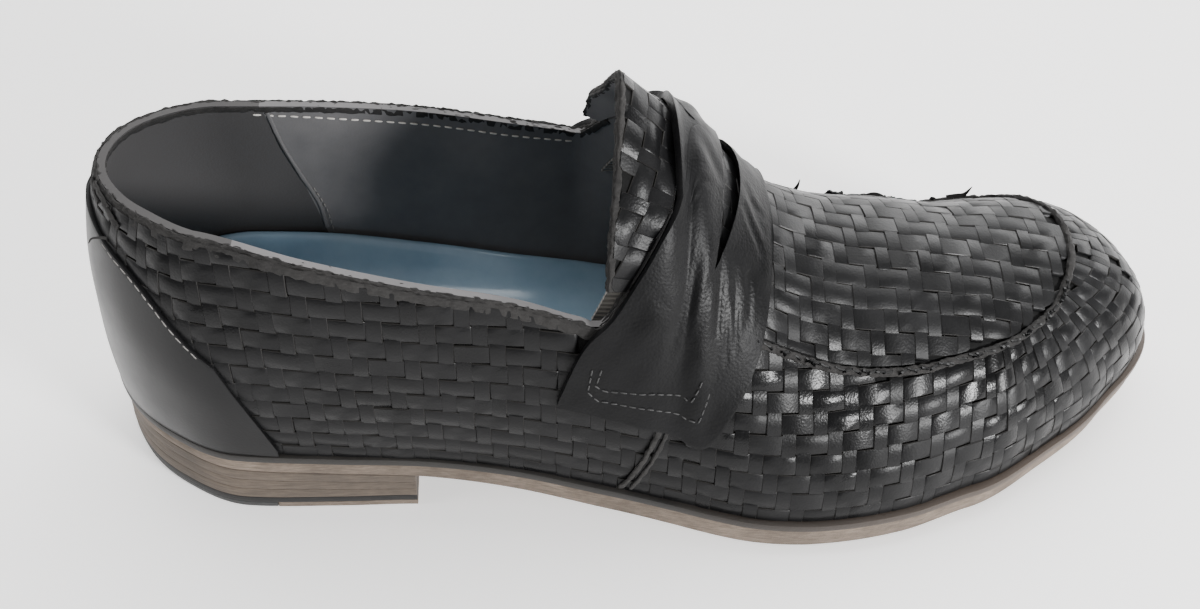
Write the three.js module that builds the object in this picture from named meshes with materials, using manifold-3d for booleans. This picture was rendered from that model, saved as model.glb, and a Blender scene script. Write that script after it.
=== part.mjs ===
// Woven leather penny moccasin, right shoe, in millimetres.
// +X runs from the heel to the toe, the outer side of the foot is at -Y, +Z is up and the floor is z = 0.
// Lengths are measured from the heel's back edge; the finished pieces are moved back by ORIGIN_X, so that
// the origin is on the floor under the middle of the heel.
import * as THREE from 'three';
import { mergeVertices } from 'three/addons/utils/BufferGeometryUtils.js';
import Module from 'manifold-3d';

const wasm = await Module();
wasm.setup();
const { Manifold, Mesh } = wasm;

// Driving sizes
const LENGTH = 300;
const ORIGIN_X = 0.15 * LENGTH;
const BALL_WIDTH = 104;
const INSTEP_HEIGHT = 100;
const HEEL_HEIGHT = 12.3;
const TOE_SPRING = 10;
const SOLE_THICKNESS = 7.4;
const WELT_THICKNESS = 2.4;
const WALL = 2.2;
const GAP = 0.3;
const STRIP_RELIEF = 0.8;
const STRIP_PITCH = 6.6;
const STRAP_ROWS = 9;
const COUNTER_ROWS = 5;
const TONGUE_ROWS = 4;
const WALL_ROWS = 7;
const UPPER_ROWS = 4;
const SEAM_HEIGHT = 1.4;
const STRAP_THICKNESS = 2;
const COUNTER_THICKNESS = 1.1;
const TONGUE_THICKNESS = 2.2;
const GORE_THICKNESS = 1;
const INSOLE_THICKNESS = 7;
const INSOLE_CUP = 11;
const TOP_PIECE = 2.3;
const BLACK_LIFT = 2.3;
const LEATHER_LIFTS = 3;
const BREAST_X = 0.27 * LENGTH;
const RUBBER_X = 0.105 * LENGTH;
const RUBBER_ARC = 0.62 * BALL_WIDTH;

// The shoe round its outline, a row per section, from the back of the heel along the outer side,
// round the toe and back along the inner side. spineX is in percent of LENGTH, turn is the section's
// direction from the spine in degrees. mid, reach, ledge, belly, topR, crown and seamR are in percent
// of BALL_WIDTH: the spine's y, the sole edge's distance from the spine, the upper's set-in from it,
// the swell low on the wall, the top edge's distance, the roundness near the top, and the apron seam.
// rise, topZ and drop are in percent of INSTEP_HEIGHT.
const SECTIONS = [
  // spineX, turn, mid, reach, ledge, belly, rise, topR, topZ, crown, drop, seamR
  [12, -180, 0.0, 34.6, 1.2, 0.2, 24, 24.4, 91.2, 6.0, 16, 0],
  [12, -150, 0.0, 32.8, 1.4, 0.8, 24, 21.8, 91.0, 7.4, 17, 0],
  [12, -120, 0.0, 32.4, 1.8, 2.0, 24, 20.8, 90.6, 8.6, 20, 0],
  [12, -90, 0.0, 35.2, 1.9, 2.0, 24, 23.4, 89.8, 7.5, 24, 0],
  [20, -90, 0.0, 36.3, 1.5, 1.6, 24, 29.4, 86.0, 4.8, 26, 0],
  [28, -90, 0.0, 36.9, 1.4, 2.2, 22, 31.8, 80.4, 4.2, 24, 0],
  [37, -90, 0.0, 40.8, 1.7, 1.8, 20, 32.8, 73.8, 5.6, 20, 0],
  [41, -90, 0.3, 43.7, 1.9, 1.4, 18, 34.6, 70.0, 5.2, 18, 0],
  [43, -90, 0.5, 45.2, 2.0, 1.2, 18, 35.4, 69.0, 5.2, 18, 0],
  [45, -90, 0.7, 46.6, 2.0, 1.2, 20, 32.4, 77.6, 8.0, 20, 0],
  [47, -90, 0.9, 48.1, 2.0, 1.2, 23, 27.4, 86.0, 10.5, 16, 0],
  [49, -90, 1.1, 49.7, 2.0, 1.4, 26, 17.0, 94.8, 13.0, 11, 0],
  [50, -90, 1.2, 50.5, 2.1, 1.5, 27, 0.0, 99.6, 25.5, 0, 34],
  [52, -90, 1.4, 52.2, 2.1, 1.6, 27, 0.0, 92.6, 26.0, 0, 34],
  [57, -90, 1.9, 55.8, 2.1, 1.6, 25, 0.0, 75.8, 27.0, 0, 34],
  [64, -90, 2.9, 57.5, 2.1, 1.4, 23, 0.0, 64.6, 27.0, 0, 36],
  [71, -90, 3.8, 55.6, 2.3, 1.6, 22, 0.0, 60.0, 27.0, 0, 35],
  [77, -90, 4.8, 51.2, 2.6, 2.0, 22, 0.0, 56.0, 26.0, 0, 31],
  [77, -60, 4.8, 46.4, 2.2, 2.0, 22, 0.0, 56.0, 25.0, 3.0, 28],
  [77, -30, 4.8, 51.2, 2.0, 1.5, 20, 0.0, 56.0, 32.0, 7.0, 29],
  [77, 0, 4.8, 64.0, 2.6, 0.4, 17, 0.0, 56.0, 43.0, 10.0, 35],
  [77, 30, 4.8, 57.0, 2.2, 0.8, 18, 0.0, 56.0, 40.0, 8.0, 37],
  [77, 60, 4.8, 45.9, 2.2, 1.4, 19, 0.0, 56.0, 30.0, 4.0, 31],
  [77, 90, 4.8, 40.4, 2.4, 2.0, 20, 0.0, 56.0, 22.0, 0, 26],
  [71, 90, 3.8, 42.3, 2.3, 1.8, 22, 0.0, 60.0, 22.0, 0, 26],
  [64, 90, 2.9, 42.3, 2.2, 1.8, 24, 0.0, 64.6, 20.0, 0, 27],
  [57, 90, 1.9, 39.9, 2.2, 2.4, 28, 0.0, 75.8, 20.0, 0, 27],
  [52, 90, 1.4, 35.8, 2.0, 3.2, 32, 0.0, 92.6, 20.0, 0, 27],
  [50, 90, 1.2, 34.3, 2.0, 4.0, 32, 0.0, 99.6, 21.0, 0, 27],
  [49, 90, 1.1, 33.6, 2.0, 4.6, 30, 13.5, 95.6, 11.0, 9, 0],
  [47, 90, 0.9, 32.7, 1.9, 5.6, 28, 23.0, 86.0, 10.0, 16, 0],
  [45, 90, 0.7, 31.9, 1.9, 6.4, 26, 31.4, 76.4, 6.0, 18, 0],
  [43, 90, 0.5, 31.3, 1.9, 7.4, 24, 36.0, 68.6, 3.0, 18, 0],
  [41, 90, 0.3, 30.8, 1.8, 7.0, 22, 35.6, 70.2, 2.5, 18, 0],
  [37, 90, 0.0, 30.3, 1.7, 6.2, 22, 34.0, 74.0, 2.5, 20, 0],
  [28, 90, 0.0, 32.2, 1.5, 3.4, 24, 32.0, 80.6, 2.5, 24, 0],
  [20, 90, 0.0, 33.7, 1.5, 2.0, 24, 28.8, 85.2, 4.0, 26, 0],
  [12, 90, 0.0, 33.7, 1.7, 1.6, 24, 25.4, 88.6, 6.0, 24, 0],
  [12, 120, 0.0, 33.4, 1.6, 1.2, 24, 25.0, 89.4, 6.5, 20, 0],
  [12, 150, 0.0, 34.4, 1.4, 0.6, 24, 25.4, 90.4, 6.0, 17, 0],
];
const COLUMNS = ['mid', 'reach', 'ledge', 'belly', 'rise', 'topR', 'topZ', 'crown', 'drop', 'seamR'];
const HEIGHTS = ['rise', 'topZ', 'drop'];

// The sole's underside along the shoe: x in percent of LENGTH, shares of HEEL_HEIGHT and TOE_SPRING,
// and the sole's thickness as a share of SOLE_THICKNESS.
const UNDERSIDE = [
  // x, heel, spring, thickness
  [0, 1.42, 0, 0.62],
  [13, 1.26, 0, 0.66],
  [27, 1.0, 0, 0.72],
  [37, 0.78, 0, 0.86],
  [47, 0.42, 0, 0.95],
  [55, 0.13, 0, 1.0],
  [62, 0, 0, 1.0],
  [72, 0, 0, 0.97],
  [80, 0, 0.12, 0.88],
  [90, 0, 0.46, 0.8],
  [100, 0, 1.0, 0.75],
];

// The strap on the outer and inner side: x in percent of LENGTH, and how far up the wall its lower
// and upper edges are, 0 at the sole and 1 at the top edge or the ridge.
const STRAP = [
  // x, outerLow, outerHigh, innerLow, innerHigh
  [39.4, 0.53, 0.57, 0.53, 0.57],
  [41, 0.49, 0.84, 0.49, 0.84],
  [42.6, 0.44, 1, 0.44, 1],
  [45, 0.395, 1, 0.395, 1],
  [49, 0.33, 1, 0.33, 1],
  [52.2, 0.26, 1, 0.26, 1],
  [53.6, 0.345, 1, 0.345, 1],
  [55.9, 0.54, 1, 0.54, 1],
  [56.8, 0.68, 1, 0.68, 1],
  [57.3, 0.84, 1, 0.84, 1],
];
const SLOT = { x: 54.2, halfWidth: 0.85, reach: 28.5, bend: 2.2 };

// The heel counter: turn from the back of the heel or x in percent of LENGTH on each side, and the
// height of its upper edge as a share of the wall.
const COUNTER_TURNS = [
  // turn, high
  [-180, 0.87],
  [-150, 0.81],
  [-120, 0.73],
  [-90, 0.5],
];
const COUNTER_ENDS = [
  // x, high
  [12, 0.5],
  [14, 0.28],
  [15.6, 0.07],
];

// The tongue's free edge from the outer side over the top to the inner side, in percent of LENGTH,
// BALL_WIDTH and INSTEP_HEIGHT.
const TONGUE_EDGE = [
  // x, y, z
  [43.6, -33.0, 78.5],
  [43.7, -29.6, 87.5],
  [44.1, -20.7, 97.6],
  [44.6, -10.0, 108.9],
  [44.9, 1.0, 114],
  [44.8, 10.5, 107.4],
  [44.2, 21.7, 95.0],
  [43.7, 30.7, 85.5],
  [43.4, 34.8, 76.5],
];

// The elastic strips' outer corners, in percent of LENGTH, BALL_WIDTH and INSTEP_HEIGHT.
const GORES = [
  { side: 'outer', corners: [[42.2, -31, 66.5], [43.8, -31.6, 66.5], [45.4, -28.2, 78.5], [44, -28, 79]] },
  { side: 'inner', corners: [[42.2, 32, 65], [44, 32, 65], [45.4, 28.2, 76], [44, 28.4, 76.5]] },
];

const clamp = (value, low, high) => Math.min(high, Math.max(low, value));
const mix = (a, b, share) => a + (b - a) * share;

// Smooth curve through a table's points, knots rising.
function curveThrough(knots, values, closedSpan = 0) {
  const count = knots.length;
  const knot = (i) => {
    if (!closedSpan) return knots[i];
    const turns = Math.floor(i / count);
    return knots[i - turns * count] + turns * closedSpan;
  };
  const value = (i) => values[closedSpan ? ((i % count) + count) % count : i];
  const slope = (i) => {
    if (!closedSpan && i === 0) return (value(1) - value(0)) / (knot(1) - knot(0));
    if (!closedSpan && i === count - 1) return (value(i) - value(i - 1)) / (knot(i) - knot(i - 1));
    const before = knot(i) - knot(i - 1);
    const after = knot(i + 1) - knot(i);
    const slopeBefore = (value(i) - value(i - 1)) / before;
    const slopeAfter = (value(i + 1) - value(i)) / after;
    return (slopeBefore * after + slopeAfter * before) / (before + after);
  };
  return (at) => {
    const x = closedSpan ? at : clamp(at, knots[0], knots[count - 1]);
    let i = 0;
    const last = closedSpan ? count - 1 : count - 2;
    while (i < last && knot(i + 1) <= x) i += 1;
    const span = knot(i + 1) - knot(i);
    const t = (x - knot(i)) / span;
    const t2 = t * t;
    const t3 = t2 * t;
    return (2 * t3 - 3 * t2 + 1) * value(i) + (t3 - 2 * t2 + t) * span * slope(i)
      + (3 * t2 - 2 * t3) * value(i + 1) + (t3 - t2) * span * slope(i + 1);
  };
}

const column = (table, index) => table.map((row) => row[index]);
const underX = column(UNDERSIDE, 0).map((x) => x / 100 * LENGTH);
const heelShare = curveThrough(underX, column(UNDERSIDE, 1));
const springShare = curveThrough(underX, column(UNDERSIDE, 2));
const thicknessShare = curveThrough(underX, column(UNDERSIDE, 3));
const undersideZ = (x) => Math.max(0, HEEL_HEIGHT * heelShare(x) + TOE_SPRING * springShare(x));
const soleTopZ = (x) => undersideZ(x) + SOLE_THICKNESS * thicknessShare(x);

// Sections as numbers in millimetres, with curves through them round the whole shoe.
const spineXs = column(SECTIONS, 0).map((x) => x / 100 * LENGTH);
const turns = column(SECTIONS, 1);
const edgePoint = (x, turn, mid, reach) => {
  const angle = turn * Math.PI / 180;
  return [x + reach * Math.cos(angle), mid + reach * Math.sin(angle)];
};
const sectionKnots = [0];
SECTIONS.forEach((row, i) => {
  const next = SECTIONS[(i + 1) % SECTIONS.length];
  const here = edgePoint(spineXs[i], row[1], row[2] / 100 * BALL_WIDTH, row[3] / 100 * BALL_WIDTH);
  const there = edgePoint(next[0] / 100 * LENGTH, next[1], next[2] / 100 * BALL_WIDTH,
    next[3] / 100 * BALL_WIDTH);
  sectionKnots.push(sectionKnots[i] + Math.hypot(there[0] - here[0], there[1] - here[1]));
});
const girth = sectionKnots.pop();
const sectionCurves = {};
COLUMNS.forEach((name, i) => {
  const size = HEIGHTS.includes(name) ? INSTEP_HEIGHT : BALL_WIDTH;
  const values = column(SECTIONS, i + 2).map((value) => value / 100 * size);
  sectionCurves[name] = curveThrough(sectionKnots, values, girth);
});

const OUTER = -1;
const INNER = 1;
const firstClosed = SECTIONS.findIndex((row) => row[7] === 0);
const CLOSED_X = spineXs[firstClosed];
const TOE_X = Math.max(...spineXs);
const HEEL_X = spineXs[0];

// The spine's y and the ridge's height depend on x alone, read from the outer side's sections.
const outerSections = SECTIONS.filter((row) => row[1] === -90);
const outerXs = column(outerSections, 0).map((x) => x / 100 * LENGTH);
const midAt = curveThrough(outerXs, column(outerSections, 2).map((y) => y / 100 * BALL_WIDTH));
const closedSections = outerSections.filter((row) => row[7] === 0);
const ridgeAt = curveThrough(column(closedSections, 0).map((x) => x / 100 * LENGTH),
  column(closedSections, 8).map((z) => z / 100 * INSTEP_HEIGHT));

function ridgeSlopeAt(x) {
  const before = Math.max(CLOSED_X, x - 1);
  const after = Math.min(TOE_X, x + 1);
  return (ridgeAt(after) - ridgeAt(before)) / (after - before);
}

// A place on the outline, by its spine x and direction.
function place(x, turn) {
  const count = SECTIONS.length;
  for (let i = 0; i < count; i += 1) {
    const j = (i + 1) % count;
    const nextTurn = j === 0 ? 180 : turns[j];
    const sameTurn = Math.abs(turns[i] - turn) < 1e-9 && Math.abs(nextTurn - turn) < 1e-9;
    const sameX = Math.abs(spineXs[i] - x) < 1e-9 && Math.abs(spineXs[j] - x) < 1e-9;
    const low = Math.min(spineXs[i], spineXs[j]) - 1e-9;
    const high = Math.max(spineXs[i], spineXs[j]) + 1e-9;
    let share = -1;
    if (sameTurn && !sameX && x >= low && x <= high) share = (x - spineXs[i]) / (spineXs[j] - spineXs[i]);
    if (sameX && turn >= turns[i] - 1e-9 && turn <= nextTurn + 1e-9) {
      share = (turn - turns[i]) / (nextTurn - turns[i]);
    }
    if (share >= 0) {
      const end = j === 0 ? girth : sectionKnots[j];
      return { x, turn, along: mix(sectionKnots[i], end, share) };
    }
  }
  throw new Error(`no section at ${x}, ${turn}`);
}
const onSide = (x, side) => place(x, 90 * side);

// The section's numbers at a place, kept on the place once found.
function sectionAt(at) {
  if (at.section) return at.section;
  const found = {};
  COLUMNS.forEach((name) => {
    found[name] = sectionCurves[name](at.along);
  });
  const closed = at.x >= CLOSED_X - 1e-6;
  found.topR = closed ? 0 : Math.max(0, found.topR);
  found.mid = midAt(at.x);
  if (closed) found.topZ = ridgeAt(at.x);
  found.cos = Math.cos(at.turn * Math.PI / 180);
  found.sin = Math.sin(at.turn * Math.PI / 180);
  at.section = found;
  return found;
}
function pointAt(at, section, reach, z) {
  return new THREE.Vector3(at.x + reach * section.cos, section.mid + reach * section.sin, z);
}

// The wall of the upper: up runs from 0 at the sole to 1 at the top edge or the ridge.
// thinner sets the curve in from the outer face.
function wallPoint(at, up, thinner = 0) {
  const s = sectionAt(at);
  const foot = s.reach - s.ledge - thinner;
  const footZ = soleTopZ(at.x + (s.reach - s.ledge) * s.cos) + GAP;
  const closed = at.x >= CLOSED_X - 1e-6;
  const topR = closed ? 0 : Math.max(0, s.topR - thinner);
  const ridgeSlope = closed ? ridgeSlopeAt(at.x) : 0;
  const topDrop = closed ? thinner * Math.hypot(1, ridgeSlope) : 0;
  const topZ = s.topZ - topDrop;
  const v = 1 - up;
  const weights = [v * v * v, 3 * up * v * v, 3 * up * up * v, up * up * up];
  const reaches = [foot, foot + s.belly, topR + s.crown, topR];
  const heights = [footZ, footZ + s.rise, topZ - s.drop, topZ];
  const reach = weights.reduce((sum, weight, i) => sum + weight * reaches[i], 0);
  const z = weights.reduce((sum, weight, i) => sum + weight * heights[i], 0);
  return pointAt(at, s, reach, z);
}

// The outward direction of the wall.
function wallNormal(at, up) {
  if (at.x >= CLOSED_X - 1e-6 && up > 1 - 1e-6) {
    return new THREE.Vector3(-ridgeSlopeAt(at.x), 0, 1).normalize();
  }
  const step = 0.004;
  const low = clamp(up - step, 0, 1);
  const high = clamp(up + step, 0, 1);
  const rising = wallPoint(at, high).sub(wallPoint(at, low));
  const s = sectionAt(at);
  let along;
  const onToe = Math.abs(at.x - TOE_X) < 1e-6 && Math.abs(at.turn) < 90 - 1e-6;
  const onHeel = Math.abs(at.x - HEEL_X) < 1e-6 && Math.abs(at.turn) > 90 + 1e-6;
  if (onToe || onHeel) {
    const turn = at.turn;
    const limit = onToe ? 90 : 180;
    const a = place(at.x, clamp(turn - 1, -limit, limit));
    const b = place(at.x, clamp(turn + 1, -limit, limit));
    along = wallPoint(b, Math.min(up, 0.98)).sub(wallPoint(a, Math.min(up, 0.98)));
  } else {
    const side = s.sin < 0 ? OUTER : INNER;
    const a = onSide(clamp(at.x - 1, HEEL_X, TOE_X), side);
    const b = onSide(clamp(at.x + 1, HEEL_X, TOE_X), side);
    const level = at.x < CLOSED_X ? Math.min(up, 0.98) : up;
    along = wallPoint(b, level).sub(wallPoint(a, level)).multiplyScalar(-side);
  }
  return along.cross(rising).normalize();
}
const skin = (at, up, offset) => wallPoint(at, up).addScaledVector(wallNormal(at, up), offset);

// How far up the wall a height is reached.
function upAtHeight(at, z) {
  let low = 0;
  let high = 1;
  for (let i = 0; i < 30; i += 1) {
    const middle = (low + high) / 2;
    if (wallPoint(at, middle).z < z) low = middle;
    else high = middle;
  }
  return (low + high) / 2;
}

// How far up the wall the apron seam runs.
function upAtReach(at, reach) {
  const s = sectionAt(at);
  let low = 0.3;
  let high = 1;
  for (let i = 0; i < 30; i += 1) {
    const middle = (low + high) / 2;
    const p = wallPoint(at, middle);
    const r = (p.x - at.x) * s.cos + (p.y - s.mid) * s.sin;
    if (r > reach) low = middle;
    else high = middle;
  }
  return (low + high) / 2;
}

// Places round the shoe: heel turns, one x list for both sides, toe turns.
function sideXs(step, extra = []) {
  const xs = [];
  const even = (from, to) => {
    const count = Math.max(1, Math.round((to - from) / step));
    for (let i = 0; i < count; i += 1) xs.push(mix(from, to, i / count));
  };
  const stops = [HEEL_X, ...extra, TOE_X];
  for (let i = 0; i + 1 < stops.length; i += 1) even(stops[i], stops[i + 1]);
  xs.push(TOE_X);
  return xs;
}
function ringOf(xs, heelSteps, toeSteps) {
  const ring = [];
  for (let i = 0; i < heelSteps; i += 1) ring.push(place(HEEL_X, mix(-180, -90, i / heelSteps)));
  xs.forEach((x) => ring.push(onSide(x, OUTER)));
  for (let i = 1; i < toeSteps; i += 1) ring.push(place(TOE_X, mix(-90, 90, i / toeSteps)));
  [...xs].reverse().forEach((x) => ring.push(onSide(x, INNER)));
  for (let i = 1; i < heelSteps; i += 1) ring.push(place(HEEL_X, mix(90, 180, i / heelSteps)));
  return ring;
}

// A closed mesh from quads given as point rows, same places made one point.
class Shell {
  constructor() {
    this.points = [];
    this.faces = [];
    this.known = new Map();
  }

  index(p) {
    const key = `${Math.round(p.x * 2e3)},${Math.round(p.y * 2e3)},${Math.round(p.z * 2e3)}`;
    if (!this.known.has(key)) {
      this.known.set(key, this.points.length);
      this.points.push(p.clone());
    }
    return this.known.get(key);
  }

  triangle(a, b, c) {
    const [i, j, k] = [this.index(a), this.index(b), this.index(c)];
    if (i !== j && j !== k && k !== i) this.faces.push([i, j, k]);
  }

  quad(a, b, c, d) {
    this.triangle(a, b, c);
    this.triangle(a, c, d);
  }

  // Rows of points, each row one level; neighbouring rows are joined. wrap closes each row.
  sheet(rows, wrap, flip = false) {
    for (let j = 0; j + 1 < rows.length; j += 1) {
      const count = rows[j].length;
      for (let i = 0; i < (wrap ? count : count - 1); i += 1) {
        const k = (i + 1) % count;
        const [a, b, c, d] = [rows[j][i], rows[j][k], rows[j + 1][k], rows[j + 1][i]];
        if (flip) this.quad(a, d, c, b);
        else this.quad(a, b, c, d);
      }
    }
  }

  solid() {
    const used = new Map();
    const vertices = [];
    const triangles = [];
    this.faces.forEach((face) => {
      face.forEach((i) => {
        if (!used.has(i)) {
          used.set(i, used.size);
          const p = this.points[i];
          vertices.push(p.x, p.y, p.z);
        }
        triangles.push(used.get(i));
      });
    });
    const mesh = new Mesh({
      numProp: 3,
      vertProperties: new Float32Array(vertices),
      triVerts: new Uint32Array(triangles),
    });
    return new Manifold(mesh);
  }
}

// A plate over the whole outline or part of it: rings of points from the edge to the spine on the top,
// the same underneath.
function plate(ring, topRings, bottomRings) {
  const shell = new Shell();
  const top = topRings.map((make) => ring.map(make));
  const bottom = bottomRings.map((make) => ring.map(make));
  shell.sheet(top, true);
  shell.sheet([bottom[0], top[0]], true);
  shell.sheet(bottom, true, true);
  return shell.solid();
}
const spinePoint = (at, z) => {
  const s = sectionAt(at);
  return new THREE.Vector3(at.x, s.mid, z);
};

// A closed three.js geometry as a solid that can cut.
function solidOf(geometry) {
  geometry.deleteAttribute('normal');
  geometry.deleteAttribute('uv');
  const merged = mergeVertices(geometry);
  return new Manifold(new Mesh({
    numProp: 3,
    vertProperties: new Float32Array(merged.attributes.position.array),
    triVerts: new Uint32Array(merged.index.array),
  }));
}

const group = new THREE.Group();
group.name = 'woven_moccasin';
function addPiece(name, solid, colour, roughness) {
  const mesh = solid.getMesh();
  const geometry = new THREE.BufferGeometry();
  const positions = new Float32Array(mesh.numVert * 3);
  for (let i = 0; i < mesh.numVert; i += 1) {
    positions[3 * i] = mesh.vertProperties[mesh.numProp * i] - ORIGIN_X;
    positions[3 * i + 1] = mesh.vertProperties[mesh.numProp * i + 1];
    positions[3 * i + 2] = mesh.vertProperties[mesh.numProp * i + 2];
  }
  geometry.setAttribute('position', new THREE.BufferAttribute(positions, 3));
  geometry.setIndex(new THREE.BufferAttribute(new Uint32Array(mesh.triVerts), 1));
  geometry.computeVertexNormals();
  const material = new THREE.MeshStandardMaterial({ color: colour, roughness, metalness: 0 });
  const piece = new THREE.Mesh(geometry, material);
  piece.name = name;
  group.add(piece);
}

const coarseXs = sideXs(9.5);
const coarseRing = ringOf(coarseXs, 7, 18);
const edgeRing = ringOf(coarseXs, 11, 30);

// Outsole: the curved slab of leather under the whole shoe.
function slabPoint(at, share, level) {
  const s = sectionAt(at);
  const reach = s.reach * share;
  return pointAt(at, s, reach, level(at.x + reach * s.cos));
}
const slabShares = [1, 0.92, 0];
const outsole = plate(
  coarseRing,
  slabShares.map((share) => (at) => slabPoint(at, share, soleTopZ)),
  [1, 0].map((share) => (at) => slabPoint(at, share, undersideZ)),
);
addPiece('outsole', outsole, '#8d8071', 0.85);

// Welt: the black rand lying on the sole's edge outside the upper.
function weltPoint(at, inset, lift, onWall) {
  const s = sectionAt(at);
  if (!onWall) {
    const p = pointAt(at, s, s.reach - inset, 0);
    p.z = soleTopZ(p.x) + lift;
    return p;
  }
  const foot = wallPoint(at, 0);
  const low = foot.z + lift;
  const up = upAtHeight(at, low);
  const p = wallPoint(at, up);
  const reach = (p.x - at.x) * s.cos + (p.y - s.mid) * s.sin + GAP * 1.5;
  return pointAt(at, s, Math.min(reach, s.reach - 0.5), soleTopZ(at.x + reach * s.cos) + lift);
}
const weltShell = new Shell();
const weltRows = [
  edgeRing.map((at) => weltPoint(at, 0.4, GAP, false)),
  edgeRing.map((at) => weltPoint(at, 0.4, WELT_THICKNESS * 0.75, false)),
  edgeRing.map((at) => weltPoint(at, 0.9, WELT_THICKNESS, false)),
  edgeRing.map((at) => weltPoint(at, 0, WELT_THICKNESS, true)),
  edgeRing.map((at) => weltPoint(at, 0, GAP, true)),
];
weltShell.sheet([...weltRows, weltRows[0]], true);
addPiece('welt', weltShell.solid(), '#1c1b1c', 0.6);

// Heel: stacked leather lifts, a black lift and a top piece, leather in front and rubber behind.
const heelXs = [HEEL_X, 52, 66, BREAST_X + 8].map((x) => Math.min(x, TOE_X));
function heelLayer(insetTop, insetBottom, topZ, bottomZ) {
  const ring = [];
  for (let i = 0; i <= 14; i += 1) ring.push(place(HEEL_X, mix(90, 180, i / 14)));
  ring.pop();
  for (let i = 0; i < 14; i += 1) ring.push(place(HEEL_X, mix(-180, -90, i / 14)));
  const outer = heelXs.map((x) => onSide(x, OUTER));
  const inner = [...heelXs].reverse().slice(0, -1).map((x) => onSide(x, INNER));
  const loop = [...inner, ...ring, ...outer];
  const shell = new Shell();
  const edge = (inset, level) => loop.map((at) => {
    const s = sectionAt(at);
    const reach = s.reach - inset;
    return pointAt(at, s, reach, level(at.x + reach * s.cos));
  });
  const spine = (level) => loop.map((at) => spinePoint(at, level(at.x)));
  const top = [edge(insetTop, topZ), spine(topZ)];
  const bottom = [edge(insetBottom, bottomZ), spine(bottomZ)];
  shell.sheet(top, true);
  shell.sheet([bottom[0], top[0]], true);
  shell.sheet(bottom, true, true);
  return shell.solid().trimByPlane([-1, 0, 0], -BREAST_X);
}
const heelTop = (x) => undersideZ(x) - GAP;
const stackBottom = TOP_PIECE + BLACK_LIFT;
const stackLevel = (share) => (x) => mix(stackBottom, heelTop(x), share);
const heelInset = (share) => mix(-0.4, 0.4, share);
for (let i = 0; i < LEATHER_LIFTS; i += 1) {
  const high = 1 - i / LEATHER_LIFTS;
  const low = 1 - (i + 1) / LEATHER_LIFTS;
  const lift = heelLayer(heelInset(high), heelInset(low), stackLevel(high), stackLevel(low));
  addPiece(`heel_lift_${i + 1}`, lift, '#6f675f', 0.85);
}
addPiece('heel_lift_black', heelLayer(-0.4, -0.4, () => stackBottom, () => TOP_PIECE), '#232223', 0.7);
const topPiece = heelLayer(-0.4, -0.2, () => TOP_PIECE, () => 0);
function rubberCutter(radius) {
  const cylinder = new THREE.CylinderGeometry(radius, radius, TOP_PIECE * 3, 64);
  cylinder.rotateX(Math.PI / 2);
  cylinder.translate(RUBBER_X + RUBBER_ARC, 0, TOP_PIECE / 2);
  return solidOf(cylinder);
}
addPiece('top_piece_leather', topPiece.intersect(rubberCutter(RUBBER_ARC)), '#7f7468', 0.85);
addPiece('top_piece_rubber', topPiece.subtract(rubberCutter(RUBBER_ARC + GAP)), '#1d1d1e', 0.75);

// Insole: a padded footbed with its rim cupped up along the wall.
const insoleCup = curveThrough([0, 0.18 * LENGTH, 0.3 * LENGTH, 0.5 * LENGTH, 0.7 * LENGTH, LENGTH],
  [1, 1, 0.82, 0.3, 0.1, 0.08].map((share) => share * INSOLE_CUP));
const insolePad = curveThrough([0, 0.18 * LENGTH, 0.4 * LENGTH, 0.6 * LENGTH, LENGTH],
  [1, 1, 0.65, 0.5, 0.45].map((share) => share * INSOLE_THICKNESS));
function insolePoint(at, inset, liftOf) {
  const s = sectionAt(at);
  const edgeX = at.x + (s.reach - s.ledge) * s.cos;
  const lift = liftOf(at.x + (s.reach - s.ledge - inset) * s.cos);
  const footZ = soleTopZ(edgeX) + GAP;
  let up = 0;
  if (lift > 0.01) up = upAtHeight(at, footZ + lift);
  const p = wallPoint(at, Math.max(0, up), WALL);
  const reach = Math.max(0, (p.x - at.x) * s.cos + (p.y - s.mid) * s.sin - 0.8 - inset);
  const x = at.x + reach * s.cos;
  return pointAt(at, s, reach, soleTopZ(x) + GAP + lift);
}
const insole = plate(
  coarseRing,
  [
    (at) => insolePoint(at, 0, (x) => insolePad(x) + insoleCup(x)),
    (at) => insolePoint(at, 3, (x) => insolePad(x) + insoleCup(x) * 0.82),
    (at) => insolePoint(at, 9, (x) => insolePad(x) + insoleCup(x) * 0.12),
    (at) => spinePoint(at, soleTopZ(at.x) + GAP + insolePad(at.x)),
  ],
  [(at) => insolePoint(at, 0, () => 0), (at) => spinePoint(at, soleTopZ(at.x) + GAP)],
);
addPiece('insole', insole, '#3c5f7d', 0.35);

// Upper: one hollow wall with the weave's strips raised in rows, the apron seam as a raised ridge,
// flat where the strap and the counter lie on it.
const throatXs = [0.41, 0.43, 0.45, 0.47, 0.482, 0.491, 0.497, 0.5].map((x) => x * LENGTH);
const strapX = column(STRAP, 0).map((x) => x / 100 * LENGTH);
const strapFront = strapX[strapX.length - 1];
const strapRear = strapX[0];
const upperXs = sideXs(STRIP_PITCH, [...throatXs, strapFront + 5 * GAP]);
const upperRing = ringOf(upperXs, 11, 30);
const strapCurve = (index) => curveThrough(strapX, column(STRAP, index));
const strapLow = { [OUTER]: strapCurve(1), [INNER]: strapCurve(3) };
const strapHigh = { [OUTER]: strapCurve(2), [INNER]: strapCurve(4) };
const counterTurn = curveThrough(column(COUNTER_TURNS, 0), column(COUNTER_TURNS, 1));
const counterEndXs = column(COUNTER_ENDS, 0).map((x) => x / 100 * LENGTH);
const counterEnd = curveThrough(counterEndXs, column(COUNTER_ENDS, 1));
const counterFront = counterEndXs[counterEndXs.length - 1];
const sideOf = (at) => (at.turn < 0 ? OUTER : INNER);
function counterHigh(at) {
  if (Math.abs(at.turn) > 90 + 1e-6) return counterTurn(-Math.abs(at.turn));
  return at.x <= counterFront ? counterEnd(at.x) : -1;
}
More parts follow.
